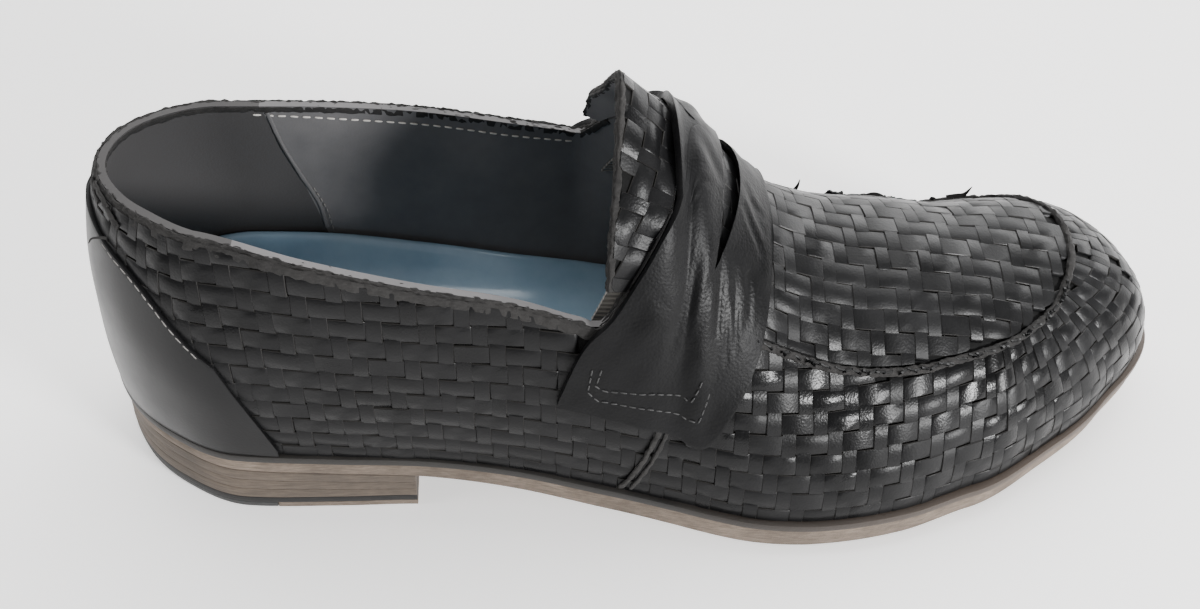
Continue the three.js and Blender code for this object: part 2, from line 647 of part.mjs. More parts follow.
function isCovered(at, up) {
  const margin = 0.06;
  if (Math.abs(at.turn) >= 90 - 1e-6 && at.x < TOE_X) {
    const side = sideOf(at);
    const near = [-STRIP_PITCH, 0, STRIP_PITCH].map((shift) => at.x + shift);
    const low = Math.min(...near.map(strapLow[side])) - margin;
    const high = Math.max(...near.map(strapHigh[side])) + margin;
    const onStrap = at.x > strapRear - STRIP_PITCH && at.x < strapFront + STRIP_PITCH / 2
      && up > low && up < high;
    if (onStrap && Math.abs(at.turn) < 90 + 1e-6) return true;
  }
  if (at.x > counterFront + STRIP_PITCH) return false;
  return up < counterHigh(place(Math.max(HEEL_X, at.x - STRIP_PITCH), at.turn)) + 2.6 * margin;
}
const seamUp = (at) => upAtReach(at, sectionAt(at).seamR);

// The rows' levels: valley and crown of every strip up to the apron seam, the seam's ridge, then the
// rows above it, which are the apron's in front and the quarters' upper ones behind.
const levels = [];
for (let i = 0; i < WALL_ROWS; i += 1) {
  levels.push({ part: 'wall', at: i, row: i }, { part: 'wall', at: i + 0.5, row: i, crown: true });
}
[0, 0.5, 1].forEach((at) => levels.push({ part: 'seam', at, crown: at === 0.5 }));
for (let i = 0; i < UPPER_ROWS; i += 1) {
  levels.push({ part: 'top', at: i + 0.5, row: WALL_ROWS + i, crown: true }, { part: 'top', at: i + 1 });
}
const SEAM_START_X = 0.54 * LENGTH;
const OPEN_SEAM = WALL_ROWS / (WALL_ROWS + UPPER_ROWS);
function openBlend(at) {
  const start = 0.4 * LENGTH;
  if (at.x <= start || Math.abs(at.turn) > 90 + 1e-6) return 0;
  return clamp((at.x - start) / (CLOSED_X - start), 0, 1);
}
function levelUp(at, level) {
  const closed = at.x >= CLOSED_X - 1e-6;
  const seam = closed ? seamUp(at) : mix(OPEN_SEAM, seamUp(onSide(CLOSED_X, sideOf(at))), openBlend(at));
  const half = at.x > SEAM_START_X ? 0.014 : 0;
  if (level.part === 'wall') return level.at / WALL_ROWS * (seam - half);
  if (level.part === 'seam') return seam - half + 2 * half * level.at;
  return mix(seam + half, 1, level.at / UPPER_ROWS);
}
function reliefAt(at, level, up) {
  if (isCovered(at, up)) return 0;
  const p = wallPoint(at, up);
  if (p.z < wallPoint(at, 0).z + WELT_THICKNESS + 1.2) return 0;
  if (!level.crown) return 0;
  if (level.part === 'seam') return at.x > strapFront ? SEAM_HEIGHT : 0;
  const fromSpine = Math.hypot(p.x - at.x, p.y - midAt(at.x));
  const nearPole = at.x < TOE_X - 1e-6 ? 1 : clamp((fromSpine - STRIP_PITCH) / (2.5 * STRIP_PITCH), 0, 1);
  const over = (Math.round(at.along / STRIP_PITCH) + level.row) % 3 !== 0;
  return nearPole * (over ? STRIP_RELIEF : STRIP_RELIEF * 0.25);
}
const upperShell = new Shell();
const outerRows = levels.map((level) => upperRing.map((at) => {
  const up = levelUp(at, level);
  if (up > 1 - 1e-6) return wallPoint(at, 1);
  const p = wallPoint(at, up);
  const relief = reliefAt(at, level, up);
  return relief ? p.addScaledVector(wallNormal(at, up), relief) : p;
}));
const innerLevels = [0, 0.15, 0.33, 0.52, 0.7, 0.87, 1];
const innerRows = innerLevels.map((up) => upperRing.map((at) => wallPoint(at, up, WALL)));
upperShell.sheet(outerRows, true);
upperShell.sheet(innerRows, true, true);
upperShell.sheet([innerRows[0], outerRows[0]], true);
const topOuter = outerRows[outerRows.length - 1];
const topInner = innerRows[innerRows.length - 1];
for (let i = 0; i < upperRing.length; i += 1) {
  const k = (i + 1) % upperRing.length;
  const bothClosed = upperRing[i].x >= CLOSED_X - 1e-6 && upperRing[k].x >= CLOSED_X - 1e-6;
  if (!bothClosed) upperShell.quad(topOuter[i], topOuter[k], topInner[k], topInner[i]);
}
addPiece('upper', upperShell.solid(), '#1f1f21', 0.45);

// A plate lying on the wall over a run of places, from one height to another at each place.
// spread over 1 crowds its rows towards the upper edge.
function wallPatch(shell, places, low, high, rows, spread, near, far, joined) {
  const face = (offset) => {
    const list = [];
    for (let j = 0; j <= rows; j += 1) {
      const share = 1 - (1 - j / rows) ** spread;
      list.push(places.map((at) => skin(at, mix(low(at), high(at), share), offset)));
    }
    return list;
  };
  const inside = face(near);
  const outside = face(far);
  const last = places.length - 1;
  shell.sheet(outside, false);
  shell.sheet(inside, false, true);
  shell.sheet([inside[0], outside[0]], false);
  for (let i = 0; i < last; i += 1) {
    const open = !joined || places[i].x < CLOSED_X - 1e-6 || places[i + 1].x < CLOSED_X - 1e-6;
    if (open) shell.quad(outside[rows][i], outside[rows][i + 1], inside[rows][i + 1], inside[rows][i]);
  }
  for (let j = 0; j < rows; j += 1) {
    shell.quad(inside[j][0], outside[j][0], outside[j + 1][0], inside[j + 1][0]);
    shell.quad(outside[j][last], inside[j][last], inside[j + 1][last], outside[j + 1][last]);
  }
}

// Strap: a smooth leather saddle over the instep with a curved slot across its top.
const frontXs = [0.53, 0.5375, 0.551, 0.559, 0.565, 0.57].map((share) => share * LENGTH);
const strapMiddleXs = upperXs.filter((x) => x > strapRear + 1.2 && x < strapFront - 1.2);
const strapEdgeXs = [strapRear, ...frontXs, strapFront]
  .filter((x) => strapMiddleXs.every((other) => Math.abs(other - x) > 1.2));
const strapXs = [...strapMiddleXs, ...strapEdgeXs].sort((a, b) => a - b);
const strapNear = GAP + 0.45;
const strapShell = new Shell();
[OUTER, INNER].forEach((side) => {
  const places = strapXs.map((x) => onSide(x, side));
  if (side === INNER) places.reverse();
  const low = (at) => strapLow[side](at.x);
  const high = (at) => Math.min(1, strapHigh[side](at.x));
  wallPatch(strapShell, places, low, high, STRAP_ROWS, 1.35, strapNear, strapNear + STRAP_THICKNESS, true);
});
const slotX = SLOT.x / 100 * LENGTH;
const slotHalf = SLOT.halfWidth / 100 * LENGTH;
const slotBend = SLOT.bend / 100 * LENGTH;
const slotReach = SLOT.reach / 100 * BALL_WIDTH;
const slotShape = new THREE.Shape();
for (let i = -12; i < 12; i += 1) {
  const across = 1 - Math.abs(Math.abs(i) - 6) / 6;
  const share = i < 0 ? (i + 6) / 6 : (6 - i) / 6;
  const way = i < 0 ? 1 : -1;
  const x = slotX + way * slotHalf * Math.sqrt(across) - slotBend * share * share;
  if (i === -12) slotShape.moveTo(x, share * slotReach);
  else slotShape.lineTo(x, share * slotReach);
}
const slotBlock = new THREE.ExtrudeGeometry(slotShape, { depth: INSTEP_HEIGHT, bevelEnabled: false });
slotBlock.translate(0, midAt(slotX), INSTEP_HEIGHT * 0.5);
addPiece('strap', strapShell.solid().subtract(solidOf(slotBlock)), '#222224', 0.4);

// Counter: the smooth leather piece round the back of the heel.
const counterShell = new Shell();
const counterXs = [...upperXs.filter((x) => x < counterFront - 1.5), counterFront];
const counterPlaces = [];
[...counterXs].reverse().forEach((x) => counterPlaces.push(onSide(x, INNER)));
for (let i = 1; i < 22; i += 1) {
  counterPlaces.push(place(HEEL_X, i < 11 ? mix(90, 180, i / 11) : mix(-180, -90, (i - 11) / 11)));
}
counterXs.forEach((x) => counterPlaces.push(onSide(x, OUTER)));
const counterNear = GAP + 0.2;
const counterLow = (at) => upAtHeight(at, wallPoint(at, 0).z + WELT_THICKNESS + GAP);
const counterTop = (at) => Math.max(counterHigh(at), counterLow(at) + 0.02);
wallPatch(counterShell, counterPlaces, counterLow, counterTop, COUNTER_ROWS, 1,
  counterNear, counterNear + COUNTER_THICKNESS, false);
addPiece('counter', counterShell.solid(), '#1b1b1c', 0.38);

// Tongue: the woven flap that carries the instep's line on behind the strap.
function lengthsOf(points) {
  const lengths = [0];
  for (let i = 1; i < points.length; i += 1) {
    lengths.push(lengths[i - 1] + points[i].distanceTo(points[i - 1]));
  }
  return lengths;
}
function sharesAlong(points) {
  const lengths = lengthsOf(points);
  return lengths.map((length) => length / lengths[lengths.length - 1]);
}
function alongPoints(points, shares) {
  const lengths = lengthsOf(points);
  const axes = ['x', 'y', 'z'].map((axis) => curveThrough(lengths, points.map((p) => p[axis])));
  return shares.map((share) => {
    const at = lengths[lengths.length - 1] * share;
    return new THREE.Vector3(axes[0](at), axes[1](at), axes[2](at));
  });
}
const TONGUE_ROOT_X = 0.449 * LENGTH;
const rootXs = upperXs.filter((x) => x > TONGUE_ROOT_X - 0.5 && x <= CLOSED_X + 1e-6);
const rootPlaces = rootXs.map((x) => onSide(x, OUTER));
[...rootXs].reverse().slice(1).forEach((x) => rootPlaces.push(onSide(x, INNER)));
const tongueRoot = rootPlaces.map((at) => wallPoint(at, 1));
const TONGUE_COUNT = tongueRoot.length;
const inSizes = ([x, y, z]) => (
  new THREE.Vector3(x / 100 * LENGTH, y / 100 * BALL_WIDTH, z / 100 * INSTEP_HEIGHT)
);
const freeEdge = TONGUE_EDGE.map(inSizes);
const tongueFree = alongPoints(freeEdge, sharesAlong(tongueRoot));
const tongueMiddle = [];
for (let j = 0; j <= TONGUE_ROWS; j += 1) {
  tongueMiddle.push(tongueRoot.map((root, i) => {
    const free = tongueFree[i];
    const start = (GAP + 0.4) / root.distanceTo(free);
    return root.clone().lerp(free, mix(start, 1, j / TONGUE_ROWS));
  }));
}
const tongueNormal = (j, i) => {
  const a = tongueMiddle[j][Math.max(0, i - 1)];
  const b = tongueMiddle[j][Math.min(TONGUE_COUNT - 1, i + 1)];
  const c = tongueMiddle[Math.max(0, j - 1)][i];
  const d = tongueMiddle[Math.min(TONGUE_ROWS, j + 1)][i];
  return b.clone().sub(a).cross(d.clone().sub(c)).normalize();
};
const tongueFace = (offset) => tongueMiddle.map((row, j) => (
  row.map((p, i) => p.clone().addScaledVector(tongueNormal(j, i), offset))
));
const tongueOutside = tongueFace(-0.1);
const tongueInside = tongueFace(-0.1 - TONGUE_THICKNESS);
const tongueShell = new Shell();
tongueShell.sheet(tongueOutside, false);
tongueShell.sheet(tongueInside, false, true);
tongueShell.sheet([tongueInside[0], tongueOutside[0]], false);
tongueShell.sheet([tongueOutside[TONGUE_ROWS], tongueInside[TONGUE_ROWS]], false);
const endLast = TONGUE_COUNT - 1;
for (let j = 0; j < TONGUE_ROWS; j += 1) {
  const [outLow, outHigh] = [tongueOutside[j], tongueOutside[j + 1]];
  const [inLow, inHigh] = [tongueInside[j], tongueInside[j + 1]];
  tongueShell.quad(outLow[0], outHigh[0], inHigh[0], inLow[0]);
  tongueShell.quad(outHigh[endLast], outLow[endLast], inLow[endLast], inHigh[endLast]);
}
addPiece('tongue', tongueShell.solid(), '#212123', 0.45);

// Gores: the elastic strips between the quarters' ends and the tongue.
GORES.forEach(({ side, corners }) => {
  const outside = corners.map(inSizes);
  const across = outside[1].clone().sub(outside[0]).cross(outside[3].clone().sub(outside[0])).normalize();
  const inward = -Math.sign(outside[0].y) * Math.sign(across.y) * GORE_THICKNESS;
  const inside = outside.map((p) => p.clone().addScaledVector(across, inward));
  const shell = new Shell();
  const flip = outside[0].y > 0;
  shell.sheet([[outside[0], outside[1]], [outside[3], outside[2]]], false, flip);
  shell.sheet([[inside[0], inside[1]], [inside[3], inside[2]]], false, !flip);
  for (let i = 0; i < 4; i += 1) {
    const k = (i + 1) % 4;
    if (flip) shell.quad(outside[i], outside[k], inside[k], inside[i]);
    else shell.quad(outside[k], outside[i], inside[i], inside[k]);
  }
  addPiece(`gore_${side}`, shell.solid(), '#77736b', 0.8);
});

export default group;
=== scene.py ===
# Woven black slip-on on a pale floor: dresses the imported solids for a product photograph.
import math

import bpy
import bmesh
import numpy as np
from mathutils import Matrix, Vector
from mathutils.bvhtree import BVHTree


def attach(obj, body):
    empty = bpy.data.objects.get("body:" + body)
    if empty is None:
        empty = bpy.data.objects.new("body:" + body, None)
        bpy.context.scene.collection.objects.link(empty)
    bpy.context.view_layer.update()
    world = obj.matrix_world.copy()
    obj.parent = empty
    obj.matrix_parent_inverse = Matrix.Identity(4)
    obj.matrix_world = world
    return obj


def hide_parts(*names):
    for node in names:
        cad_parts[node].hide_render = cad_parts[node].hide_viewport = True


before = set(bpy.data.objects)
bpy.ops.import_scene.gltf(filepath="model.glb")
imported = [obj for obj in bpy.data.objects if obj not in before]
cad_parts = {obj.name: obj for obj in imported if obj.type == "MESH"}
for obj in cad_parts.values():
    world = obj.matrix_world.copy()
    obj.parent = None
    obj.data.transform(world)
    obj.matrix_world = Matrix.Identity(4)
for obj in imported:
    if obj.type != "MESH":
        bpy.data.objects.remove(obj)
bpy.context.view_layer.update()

print("frame loaded:", len(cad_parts), "nodes")

# The shoe's own sizes in millimetres, measured from the heel's back edge.
mm = 0.001
shoe = {
    "length": 300.0, "ballWidth": 104.0, "instepHeight": 100.0,
    "heelHeight": 12.3, "toeSpring": 10.0, "soleThickness": 7.4,
    "wall": 2.2, "gap": 0.3, "breastX": 81.0, "originX": 45.0,
}

# A row for each section round the shoe, shares of length, ball width and instep height in percent:
# spineX, turn, mid, reach, ledge, belly, rise, topR, topZ, crown, drop, seamR
sections = [
    [12, -180, 0.0, 34.6, 1.2, 0.2, 24, 24.4, 91.2, 6.0, 16, 0],
    [12, -150, 0.0, 32.8, 1.4, 0.8, 24, 21.8, 91.0, 7.4, 17, 0],
    [12, -120, 0.0, 32.4, 1.8, 2.0, 24, 20.8, 90.6, 8.6, 20, 0],
    [12, -90, 0.0, 35.2, 1.9, 2.0, 24, 23.4, 89.8, 7.5, 24, 0],
    [20, -90, 0.0, 36.3, 1.5, 1.6, 24, 29.4, 86.0, 4.8, 26, 0],
    [28, -90, 0.0, 36.9, 1.4, 2.2, 22, 31.8, 80.4, 4.2, 24, 0],
    [37, -90, 0.0, 40.8, 1.7, 1.8, 20, 32.8, 73.8, 5.6, 20, 0],
    [41, -90, 0.3, 43.7, 1.9, 1.4, 18, 34.6, 70.0, 5.2, 18, 0],
    [43, -90, 0.5, 45.2, 2.0, 1.2, 18, 35.4, 69.0, 5.2, 18, 0],
    [45, -90, 0.7, 46.6, 2.0, 1.2, 20, 32.4, 77.6, 8.0, 20, 0],
    [47, -90, 0.9, 48.1, 2.0, 1.2, 23, 27.4, 86.0, 10.5, 16, 0],
    [49, -90, 1.1, 49.7, 2.0, 1.4, 26, 17.0, 94.8, 13.0, 11, 0],
    [50, -90, 1.2, 50.5, 2.1, 1.5, 27, 0.0, 99.6, 25.5, 0, 34],
    [52, -90, 1.4, 52.2, 2.1, 1.6, 27, 0.0, 92.6, 26.0, 0, 34],
    [57, -90, 1.9, 55.8, 2.1, 1.6, 25, 0.0, 75.8, 27.0, 0, 34],
    [64, -90, 2.9, 57.5, 2.1, 1.4, 23, 0.0, 64.6, 27.0, 0, 36],
    [71, -90, 3.8, 55.6, 2.3, 1.6, 22, 0.0, 60.0, 27.0, 0, 35],
    [77, -90, 4.8, 51.2, 2.6, 2.0, 22, 0.0, 56.0, 26.0, 0, 31],
    [77, -60, 4.8, 46.4, 2.2, 2.0, 22, 0.0, 56.0, 25.0, 3.0, 28],
    [77, -30, 4.8, 51.2, 2.0, 1.5, 20, 0.0, 56.0, 32.0, 7.0, 29],
    [77, 0, 4.8, 64.0, 2.6, 2.2, 21, 0.0, 56.0, 45.0, 6.5, 32],
    [77, 30, 4.8, 57.0, 2.2, 3.4, 25, 0.0, 56.0, 44.5, 4.2, 35],
    [77, 60, 4.8, 45.9, 2.2, 1.7, 21.5, 0.0, 56.0, 30.5, 3.2, 30],
    [77, 90, 4.8, 40.4, 2.4, 2.0, 20, 0.0, 56.0, 22.0, 0, 26],
    [71, 90, 3.8, 42.3, 2.3, 1.8, 22, 0.0, 60.0, 22.0, 0, 26],
    [64, 90, 2.9, 42.3, 2.2, 1.8, 24, 0.0, 64.6, 20.0, 0, 27],
    [57, 90, 1.9, 39.9, 2.2, 2.4, 28, 0.0, 75.8, 20.0, 0, 27],
    [52, 90, 1.4, 35.8, 2.0, 3.2, 32, 0.0, 92.6, 20.0, 0, 27],
    [50, 90, 1.2, 34.3, 2.0, 4.0, 32, 0.0, 99.6, 21.0, 0, 27],
    [49, 90, 1.1, 33.6, 2.0, 4.6, 30, 13.5, 95.6, 11.0, 9, 0],
    [47, 90, 0.9, 32.7, 1.9, 5.6, 28, 23.0, 86.0, 10.0, 16, 0],
    [45, 90, 0.7, 31.9, 1.9, 6.4, 26, 31.4, 76.4, 6.0, 18, 0],
    [43, 90, 0.5, 31.3, 1.9, 7.4, 24, 36.0, 68.6, 3.0, 18, 0],
    [41, 90, 0.3, 30.8, 1.8, 7.0, 22, 35.6, 70.2, 2.5, 18, 0],
    [37, 90, 0.0, 30.3, 1.7, 6.2, 22, 34.0, 74.0, 2.5, 20, 0],
    [28, 90, 0.0, 32.2, 1.5, 3.4, 24, 32.0, 80.6, 2.5, 24, 0],
    [20, 90, 0.0, 33.7, 1.5, 2.0, 24, 28.8, 85.2, 4.0, 26, 0],
    [12, 90, 0.0, 33.7, 1.7, 1.6, 24, 25.4, 88.6, 6.0, 24, 0],
    [12, 120, 0.0, 33.4, 1.6, 1.2, 24, 25.0, 89.4, 6.5, 20, 0],
    [12, 150, 0.0, 34.4, 1.4, 0.6, 24, 25.4, 90.4, 6.0, 17, 0],
]
columnNames = ["mid", "reach", "ledge", "belly", "rise", "topR", "topZ", "crown", "drop", "seamR"]
heightNames = ["rise", "topZ", "drop"]

# The underside along the shoe: x in percent, then shares of heel height, toe spring and sole thickness.
underside = [
    [0, 1.42, 0, 0.62], [13, 1.26, 0, 0.66], [27, 1.0, 0, 0.72], [37, 0.78, 0, 0.86],
    [47, 0.42, 0, 0.95], [55, 0.13, 0, 1.0], [62, 0, 0, 1.0], [72, 0, 0, 0.97],
    [80, 0, 0.12, 0.88], [90, 0, 0.46, 0.8], [100, 0, 1.0, 0.75],
]


def curveThrough(knots, values, span=0.0):
    k = np.array(knots, float)
    v = np.array(values, float)
    if span:  # a closed curve repeats its first and last points
        k = np.concatenate([k[-2:] - span, k, k[:2] + span])
        v = np.concatenate([v[-2:], v, v[:2]])
    step = np.diff(k)
    rise = np.diff(v) / step
    slope = np.empty_like(v)
    slope[1:-1] = (rise[:-1] * step[1:] + rise[1:] * step[:-1]) / (step[:-1] + step[1:])
    slope[0], slope[-1] = rise[0], rise[-1]

    def at(x):
        x = np.mod(x, span) if span else np.clip(x, k[0], k[-1])
        i = np.clip(np.searchsorted(k, x, side="right") - 1, 0, len(k) - 2)
        h = step[i]
        t = (x - k[i]) / h
        return ((2 * t**3 - 3 * t**2 + 1) * v[i] + (t**3 - 2 * t**2 + t) * h * slope[i]
                + (3 * t**2 - 2 * t**3) * v[i + 1] + (t**3 - t**2) * h * slope[i + 1])

    return at


def tableColumn(table, index, size=1.0):
    return [row[index] / 100 * size if size != 1.0 else row[index] for row in table]


underXs = tableColumn(underside, 0, shoe["length"])
heelShare = curveThrough(underXs, tableColumn(underside, 1))
springShare = curveThrough(underXs, tableColumn(underside, 2))
thickShare = curveThrough(underXs, tableColumn(underside, 3))


def underZ(x):
    return np.maximum(0, shoe["heelHeight"] * heelShare(x) + shoe["toeSpring"] * springShare(x))


def soleTopZ(x):
    return underZ(x) + shoe["soleThickness"] * thickShare(x)


# Distance round the sole's outline at each section, and smooth curves of every section size over it.
spineXs = np.array(tableColumn(sections, 0, shoe["length"]))
turns = np.array(tableColumn(sections, 1), float)
mids = np.array(tableColumn(sections, 2, shoe["ballWidth"]))
reaches = np.array(tableColumn(sections, 3, shoe["ballWidth"]))
edgeX = spineXs + reaches * np.cos(np.radians(turns))
edgeY = mids + reaches * np.sin(np.radians(turns))
hops = np.hypot(np.roll(edgeX, -1) - edgeX, np.roll(edgeY, -1) - edgeY)
sectionKnots = np.concatenate([[0], np.cumsum(hops)[:-1]])
girth = float(hops.sum())
sectionCurves = {}
for index, name in enumerate(columnNames):
    size = shoe["instepHeight"] if name in heightNames else shoe["ballWidth"]
    sectionCurves[name] = curveThrough(sectionKnots, tableColumn(sections, index + 2, size), girth)

heelX = spineXs[0]
toeX = spineXs.max()
outerRows = [row for row in sections if row[1] == -90]
closedRows = [row for row in outerRows if row[7] == 0]
closedX = closedRows[0][0] / 100 * shoe["length"]
midAt = curveThrough(tableColumn(outerRows, 0, shoe["length"]), tableColumn(outerRows, 2, shoe["ballWidth"]))
ridgeAt = curveThrough(tableColumn(closedRows, 0, shoe["length"]),
                       tableColumn(closedRows, 8, shoe["instepHeight"]))
loopKnots = np.append(sectionKnots, girth)
loopXs = np.append(spineXs, spineXs[0])
loopTurns = np.append(turns, 180.0)
outerSide, innerSide = -1, 1


def ridgeSlope(x):
    before = np.maximum(closedX, x - 1)
    after = np.minimum(toeX, x + 1)
    return (ridgeAt(after) - ridgeAt(before)) / np.maximum(after - before, 1e-6)


def placesAt(along):
    along = np.mod(np.asarray(along, float), girth)
    x = np.interp(along, loopKnots, loopXs)
    turn = np.interp(along, loopKnots, loopTurns)
    s = {name: curve(along) for name, curve in sectionCurves.items()}
    closed = x >= closedX - 1e-6
    s["topR"] = np.where(closed, 0, np.maximum(0, s["topR"]))
    s["topZ"] = np.where(closed, ridgeAt(x), s["topZ"])
    s["mid"] = midAt(x)
    s.update(x=x, turn=turn, along=along, closed=closed)
    s["cos"] = np.cos(np.radians(turn))
    s["sin"] = np.sin(np.radians(turn))
    return s


def alongSide(x, side):
    rows = np.where(turns == 90 * side)[0]
    order = rows[np.argsort(spineXs[rows])]
    return np.interp(x, spineXs[order], sectionKnots[order])


def alongTurn(turn, atToe):
    middle = np.abs(loopXs - (toeX if atToe else heelX)) < 1e-6
    return np.interp(turn, loopTurns[middle], loopKnots[middle])


def wallAt(s, up, thinner=0.0):
    # points of the upper's outer face: up 0 at the sole, 1 at the top edge or the ridge
    up = np.asarray(up, float)
    if up.ndim == 1:
        up = np.broadcast_to(up, (len(s["x"]), len(up)))
    col = {name: value[:, None] for name, value in s.items()}
    foot = col["reach"] - col["ledge"] - thinner
    footZ = soleTopZ(col["x"] + (col["reach"] - col["ledge"]) * col["cos"]) + shoe["gap"]
    topR = np.where(col["closed"], 0, np.maximum(0, col["topR"] - thinner))
    topZ = col["topZ"] - np.where(col["closed"], thinner * np.hypot(1, ridgeSlope(col["x"])), 0)
    v = 1 - up
    b0, b1, b2, b3 = v**3, 3 * up * v * v, 3 * up * up * v, up**3
    reach = b0 * foot + b1 * (foot + col["belly"]) + b2 * (topR + col["crown"]) + b3 * topR
    z = b0 * footZ + b1 * (footZ + col["rise"]) + b2 * (topZ - col["drop"]) + b3 * topZ
    return np.stack([col["x"] + reach * col["cos"], col["mid"] + reach * col["sin"], z + 0 * reach], -1)


def facingAt(s, up, thinner=0.0):
    up = np.minimum(np.asarray(up, float), 0.985)
    if up.ndim == 1:
        up = np.broadcast_to(up, (len(s["x"]), len(up)))
    rise = wallAt(s, np.clip(up + 0.004, 0, 1), thinner) - wallAt(s, np.clip(up - 0.004, 0, 1), thinner)
    run = wallAt(placesAt(s["along"] + 1), up, thinner) - wallAt(placesAt(s["along"] - 1), up, thinner)
    out = np.cross(run, rise)
    return out / np.maximum(np.linalg.norm(out, axis=-1, keepdims=True), 1e-9)


def skinAt(s, up, offset):
    return wallAt(s, up) + facingAt(s, up) * np.asarray(offset)[..., None]


def upAtZ(s, z, thinner=0.0):
    ups = np.linspace(0, 1, 60)
    rows = wallAt(s, ups, thinner)[:, :, 2]
    return np.array([np.interp(h, row, ups) for h, row in zip(np.broadcast_to(z, len(rows)), rows)])


def upAtReach(s, reach):
    ups = np.linspace(0.3, 1, 90)
    p = wallAt(s, ups)
    r = (p[:, :, 0] - s["x"][:, None]) * s["cos"][:, None] + (p[:, :, 1] - s["mid"][:, None]) * s["sin"][:, None]
    return np.array([np.interp(-want, -row, ups) for want, row in zip(np.broadcast_to(reach, len(r)), r)])


def ringOf(step, heelSteps, toeSteps):
    # places round the whole shoe, with the same x on both sides so that the ridge meets
    def even(low, high):
        count = max(1, round((high - low) / step))
        return np.linspace(low, high, count, endpoint=False)

    xs = np.concatenate([even(heelX, closedX), even(closedX, toeX), [toeX]])
    along = [alongTurn(np.linspace(-180, -90, heelSteps, endpoint=False), False), alongSide(xs, outerSide)]
    along.append(alongTurn(np.linspace(-90, 90, toeSteps + 1)[1:-1], True))
    along.append(alongSide(xs[::-1], innerSide))
    along.append(alongTurn(np.linspace(90, 180, heelSteps + 1)[1:-1], False))
    return placesAt(np.concatenate(along))


def inFrame(points):
    return (np.asarray(points) - [shoe["originX"], 0, 0]) * mm


# Meshes are gathered as grids of points in shoe millimetres, then welded into one object.
def newSkin():
    return {"points": [], "faces": [], "count": 0, "finish": []}


def gridFaces(n, m):
    return [[i * m + j, (i + 1) * m + j, (i + 1) * m + j + 1, i * m + j + 1] for i in range(n - 1) for j in range(m - 1)]


def addGrid(skin, grid, wrap=False, flip=False, finish=0, skip=None):
    n, m = grid.shape[:2]
    first = skin["count"]
    skin["points"].append(grid.reshape(-1, 3))
    skin["count"] += n * m
    for i in range(n if wrap else n - 1):
        k = (i + 1) % n
        if skip is not None and skip[i] and skip[k]:
            continue
        for j in range(m - 1):
            quad = [first + i * m + j, first + k * m + j, first + k * m + j + 1, first + i * m + j + 1]
            skin["faces"].append(quad[::-1] if flip else quad)
            skin["finish"].append(finish)


def addSlab(skin, outside, inside, finish=0, skip=None):
    # a closed plate from its outer and inner faces
    addGrid(skin, outside)
    addGrid(skin, inside, flip=True, finish=finish)
    addGrid(skin, np.stack([inside[:, 0], outside[:, 0]], 1))
    addGrid(skin, np.stack([outside[:, -1], inside[:, -1]], 1), skip=skip)
    addGrid(skin, np.stack([inside[0], outside[0]]))
    addGrid(skin, np.stack([outside[-1], inside[-1]]))


def addFace(skin, numbers):
    skin["faces"].append(numbers)
    skin["finish"].append(0)


def place(obj):
    bpy.context.scene.collection.objects.link(obj)
    return obj


def turnOutward(mesh):
    bm = bmesh.new()
    bm.from_mesh(mesh)
    bmesh.ops.recalc_face_normals(bm, faces=bm.faces)
    bm.to_mesh(mesh)
    bm.free()


def skinObject(name, skin, materials, weld=0.0015):
    mesh = bpy.data.meshes.new(name)
    mesh.from_pydata(inFrame(np.concatenate(skin["points"])).tolist(), [], skin["faces"])
    for material in materials:
        mesh.materials.append(material)
    mesh.polygons.foreach_set("material_index", skin["finish"])
    bm = bmesh.new()
    bm.from_mesh(mesh)
    bmesh.ops.remove_doubles(bm, verts=bm.verts, dist=weld * mm)
    bmesh.ops.dissolve_degenerate(bm, edges=bm.edges, dist=weld * mm * 0.5)
    loose = [v for v in bm.verts if not v.link_faces]
    bmesh.ops.delete(bm, geom=loose, context="VERTS")
    bm.to_mesh(mesh)
    bm.free()
    mesh.polygons.foreach_set("use_smooth", [True] * len(mesh.polygons))
    mesh.update()
    return place(bpy.data.objects.new(name, mesh))


def prismObject(name, outline, low, high):
    # an upright cutter over a plan outline
    skin = newSkin()
    count = len(outline)
    addGrid(skin, np.stack([np.column_stack([outline, np.full(count, z)]) for z in (low, high)], 1), wrap=True)
    addFace(skin, list(range(0, 2 * count, 2))[::-1])
    addFace(skin, list(range(1, 2 * count, 2)))
    return skinObject(name, skin, [], weld=1e-5)


def finishPiece(obj, slot, *nodes, sharp=40):
    if sharp:
        obj.data.set_sharp_from_angle(angle=math.radians(sharp))
    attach(obj, "root")
    if nodes:
        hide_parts(*nodes)
    return obj


def withModifiers(obj, *modifiers):
    for kind, settings in modifiers:
        modifier = obj.modifiers.new(kind.title(), kind)
        for key, value in settings.items():
            setattr(modifier, key, value)
    return bakeModifiers(obj)


def cutWith(obj, cutter, operation):
    return withModifiers(obj, ("BOOLEAN", {"operation": operation, "object": cutter, "solver": "EXACT"}))


def bevelled(obj, width, segments, angle):
    return withModifiers(obj, ("BEVEL", {"width": width * mm, "segments": segments, "limit_method": "ANGLE",
                                         "angle_limit": math.radians(angle), "use_clamp_overlap": True}))


def bakeModifiers(obj):
    graph = bpy.context.evaluated_depsgraph_get()
    baked = bpy.data.meshes.new_from_object(obj.evaluated_get(graph))
    obj.modifiers.clear()
    old = obj.data
    obj.data = baked
    baked.name = obj.name
    bpy.data.meshes.remove(old)
    return obj


def put(tree, kind, settings=None, **wires):
    # a node with its settings, its inputs linked or set by name, or by place as i0, i1
    node = tree.nodes.new(kind)
    for key, value in (settings or {}).items():
        setattr(node, key, value)
    for key, value in wires.items():
        byPlace = key[0] == "i" and key[1:].isdigit()
        socket = node.inputs[int(key[1:])] if byPlace else node.inputs[key.replace("_", " ")]
        if isinstance(value, bpy.types.NodeSocket):
            tree.links.new(value, socket)
        else:
            socket.default_value = value
    return node


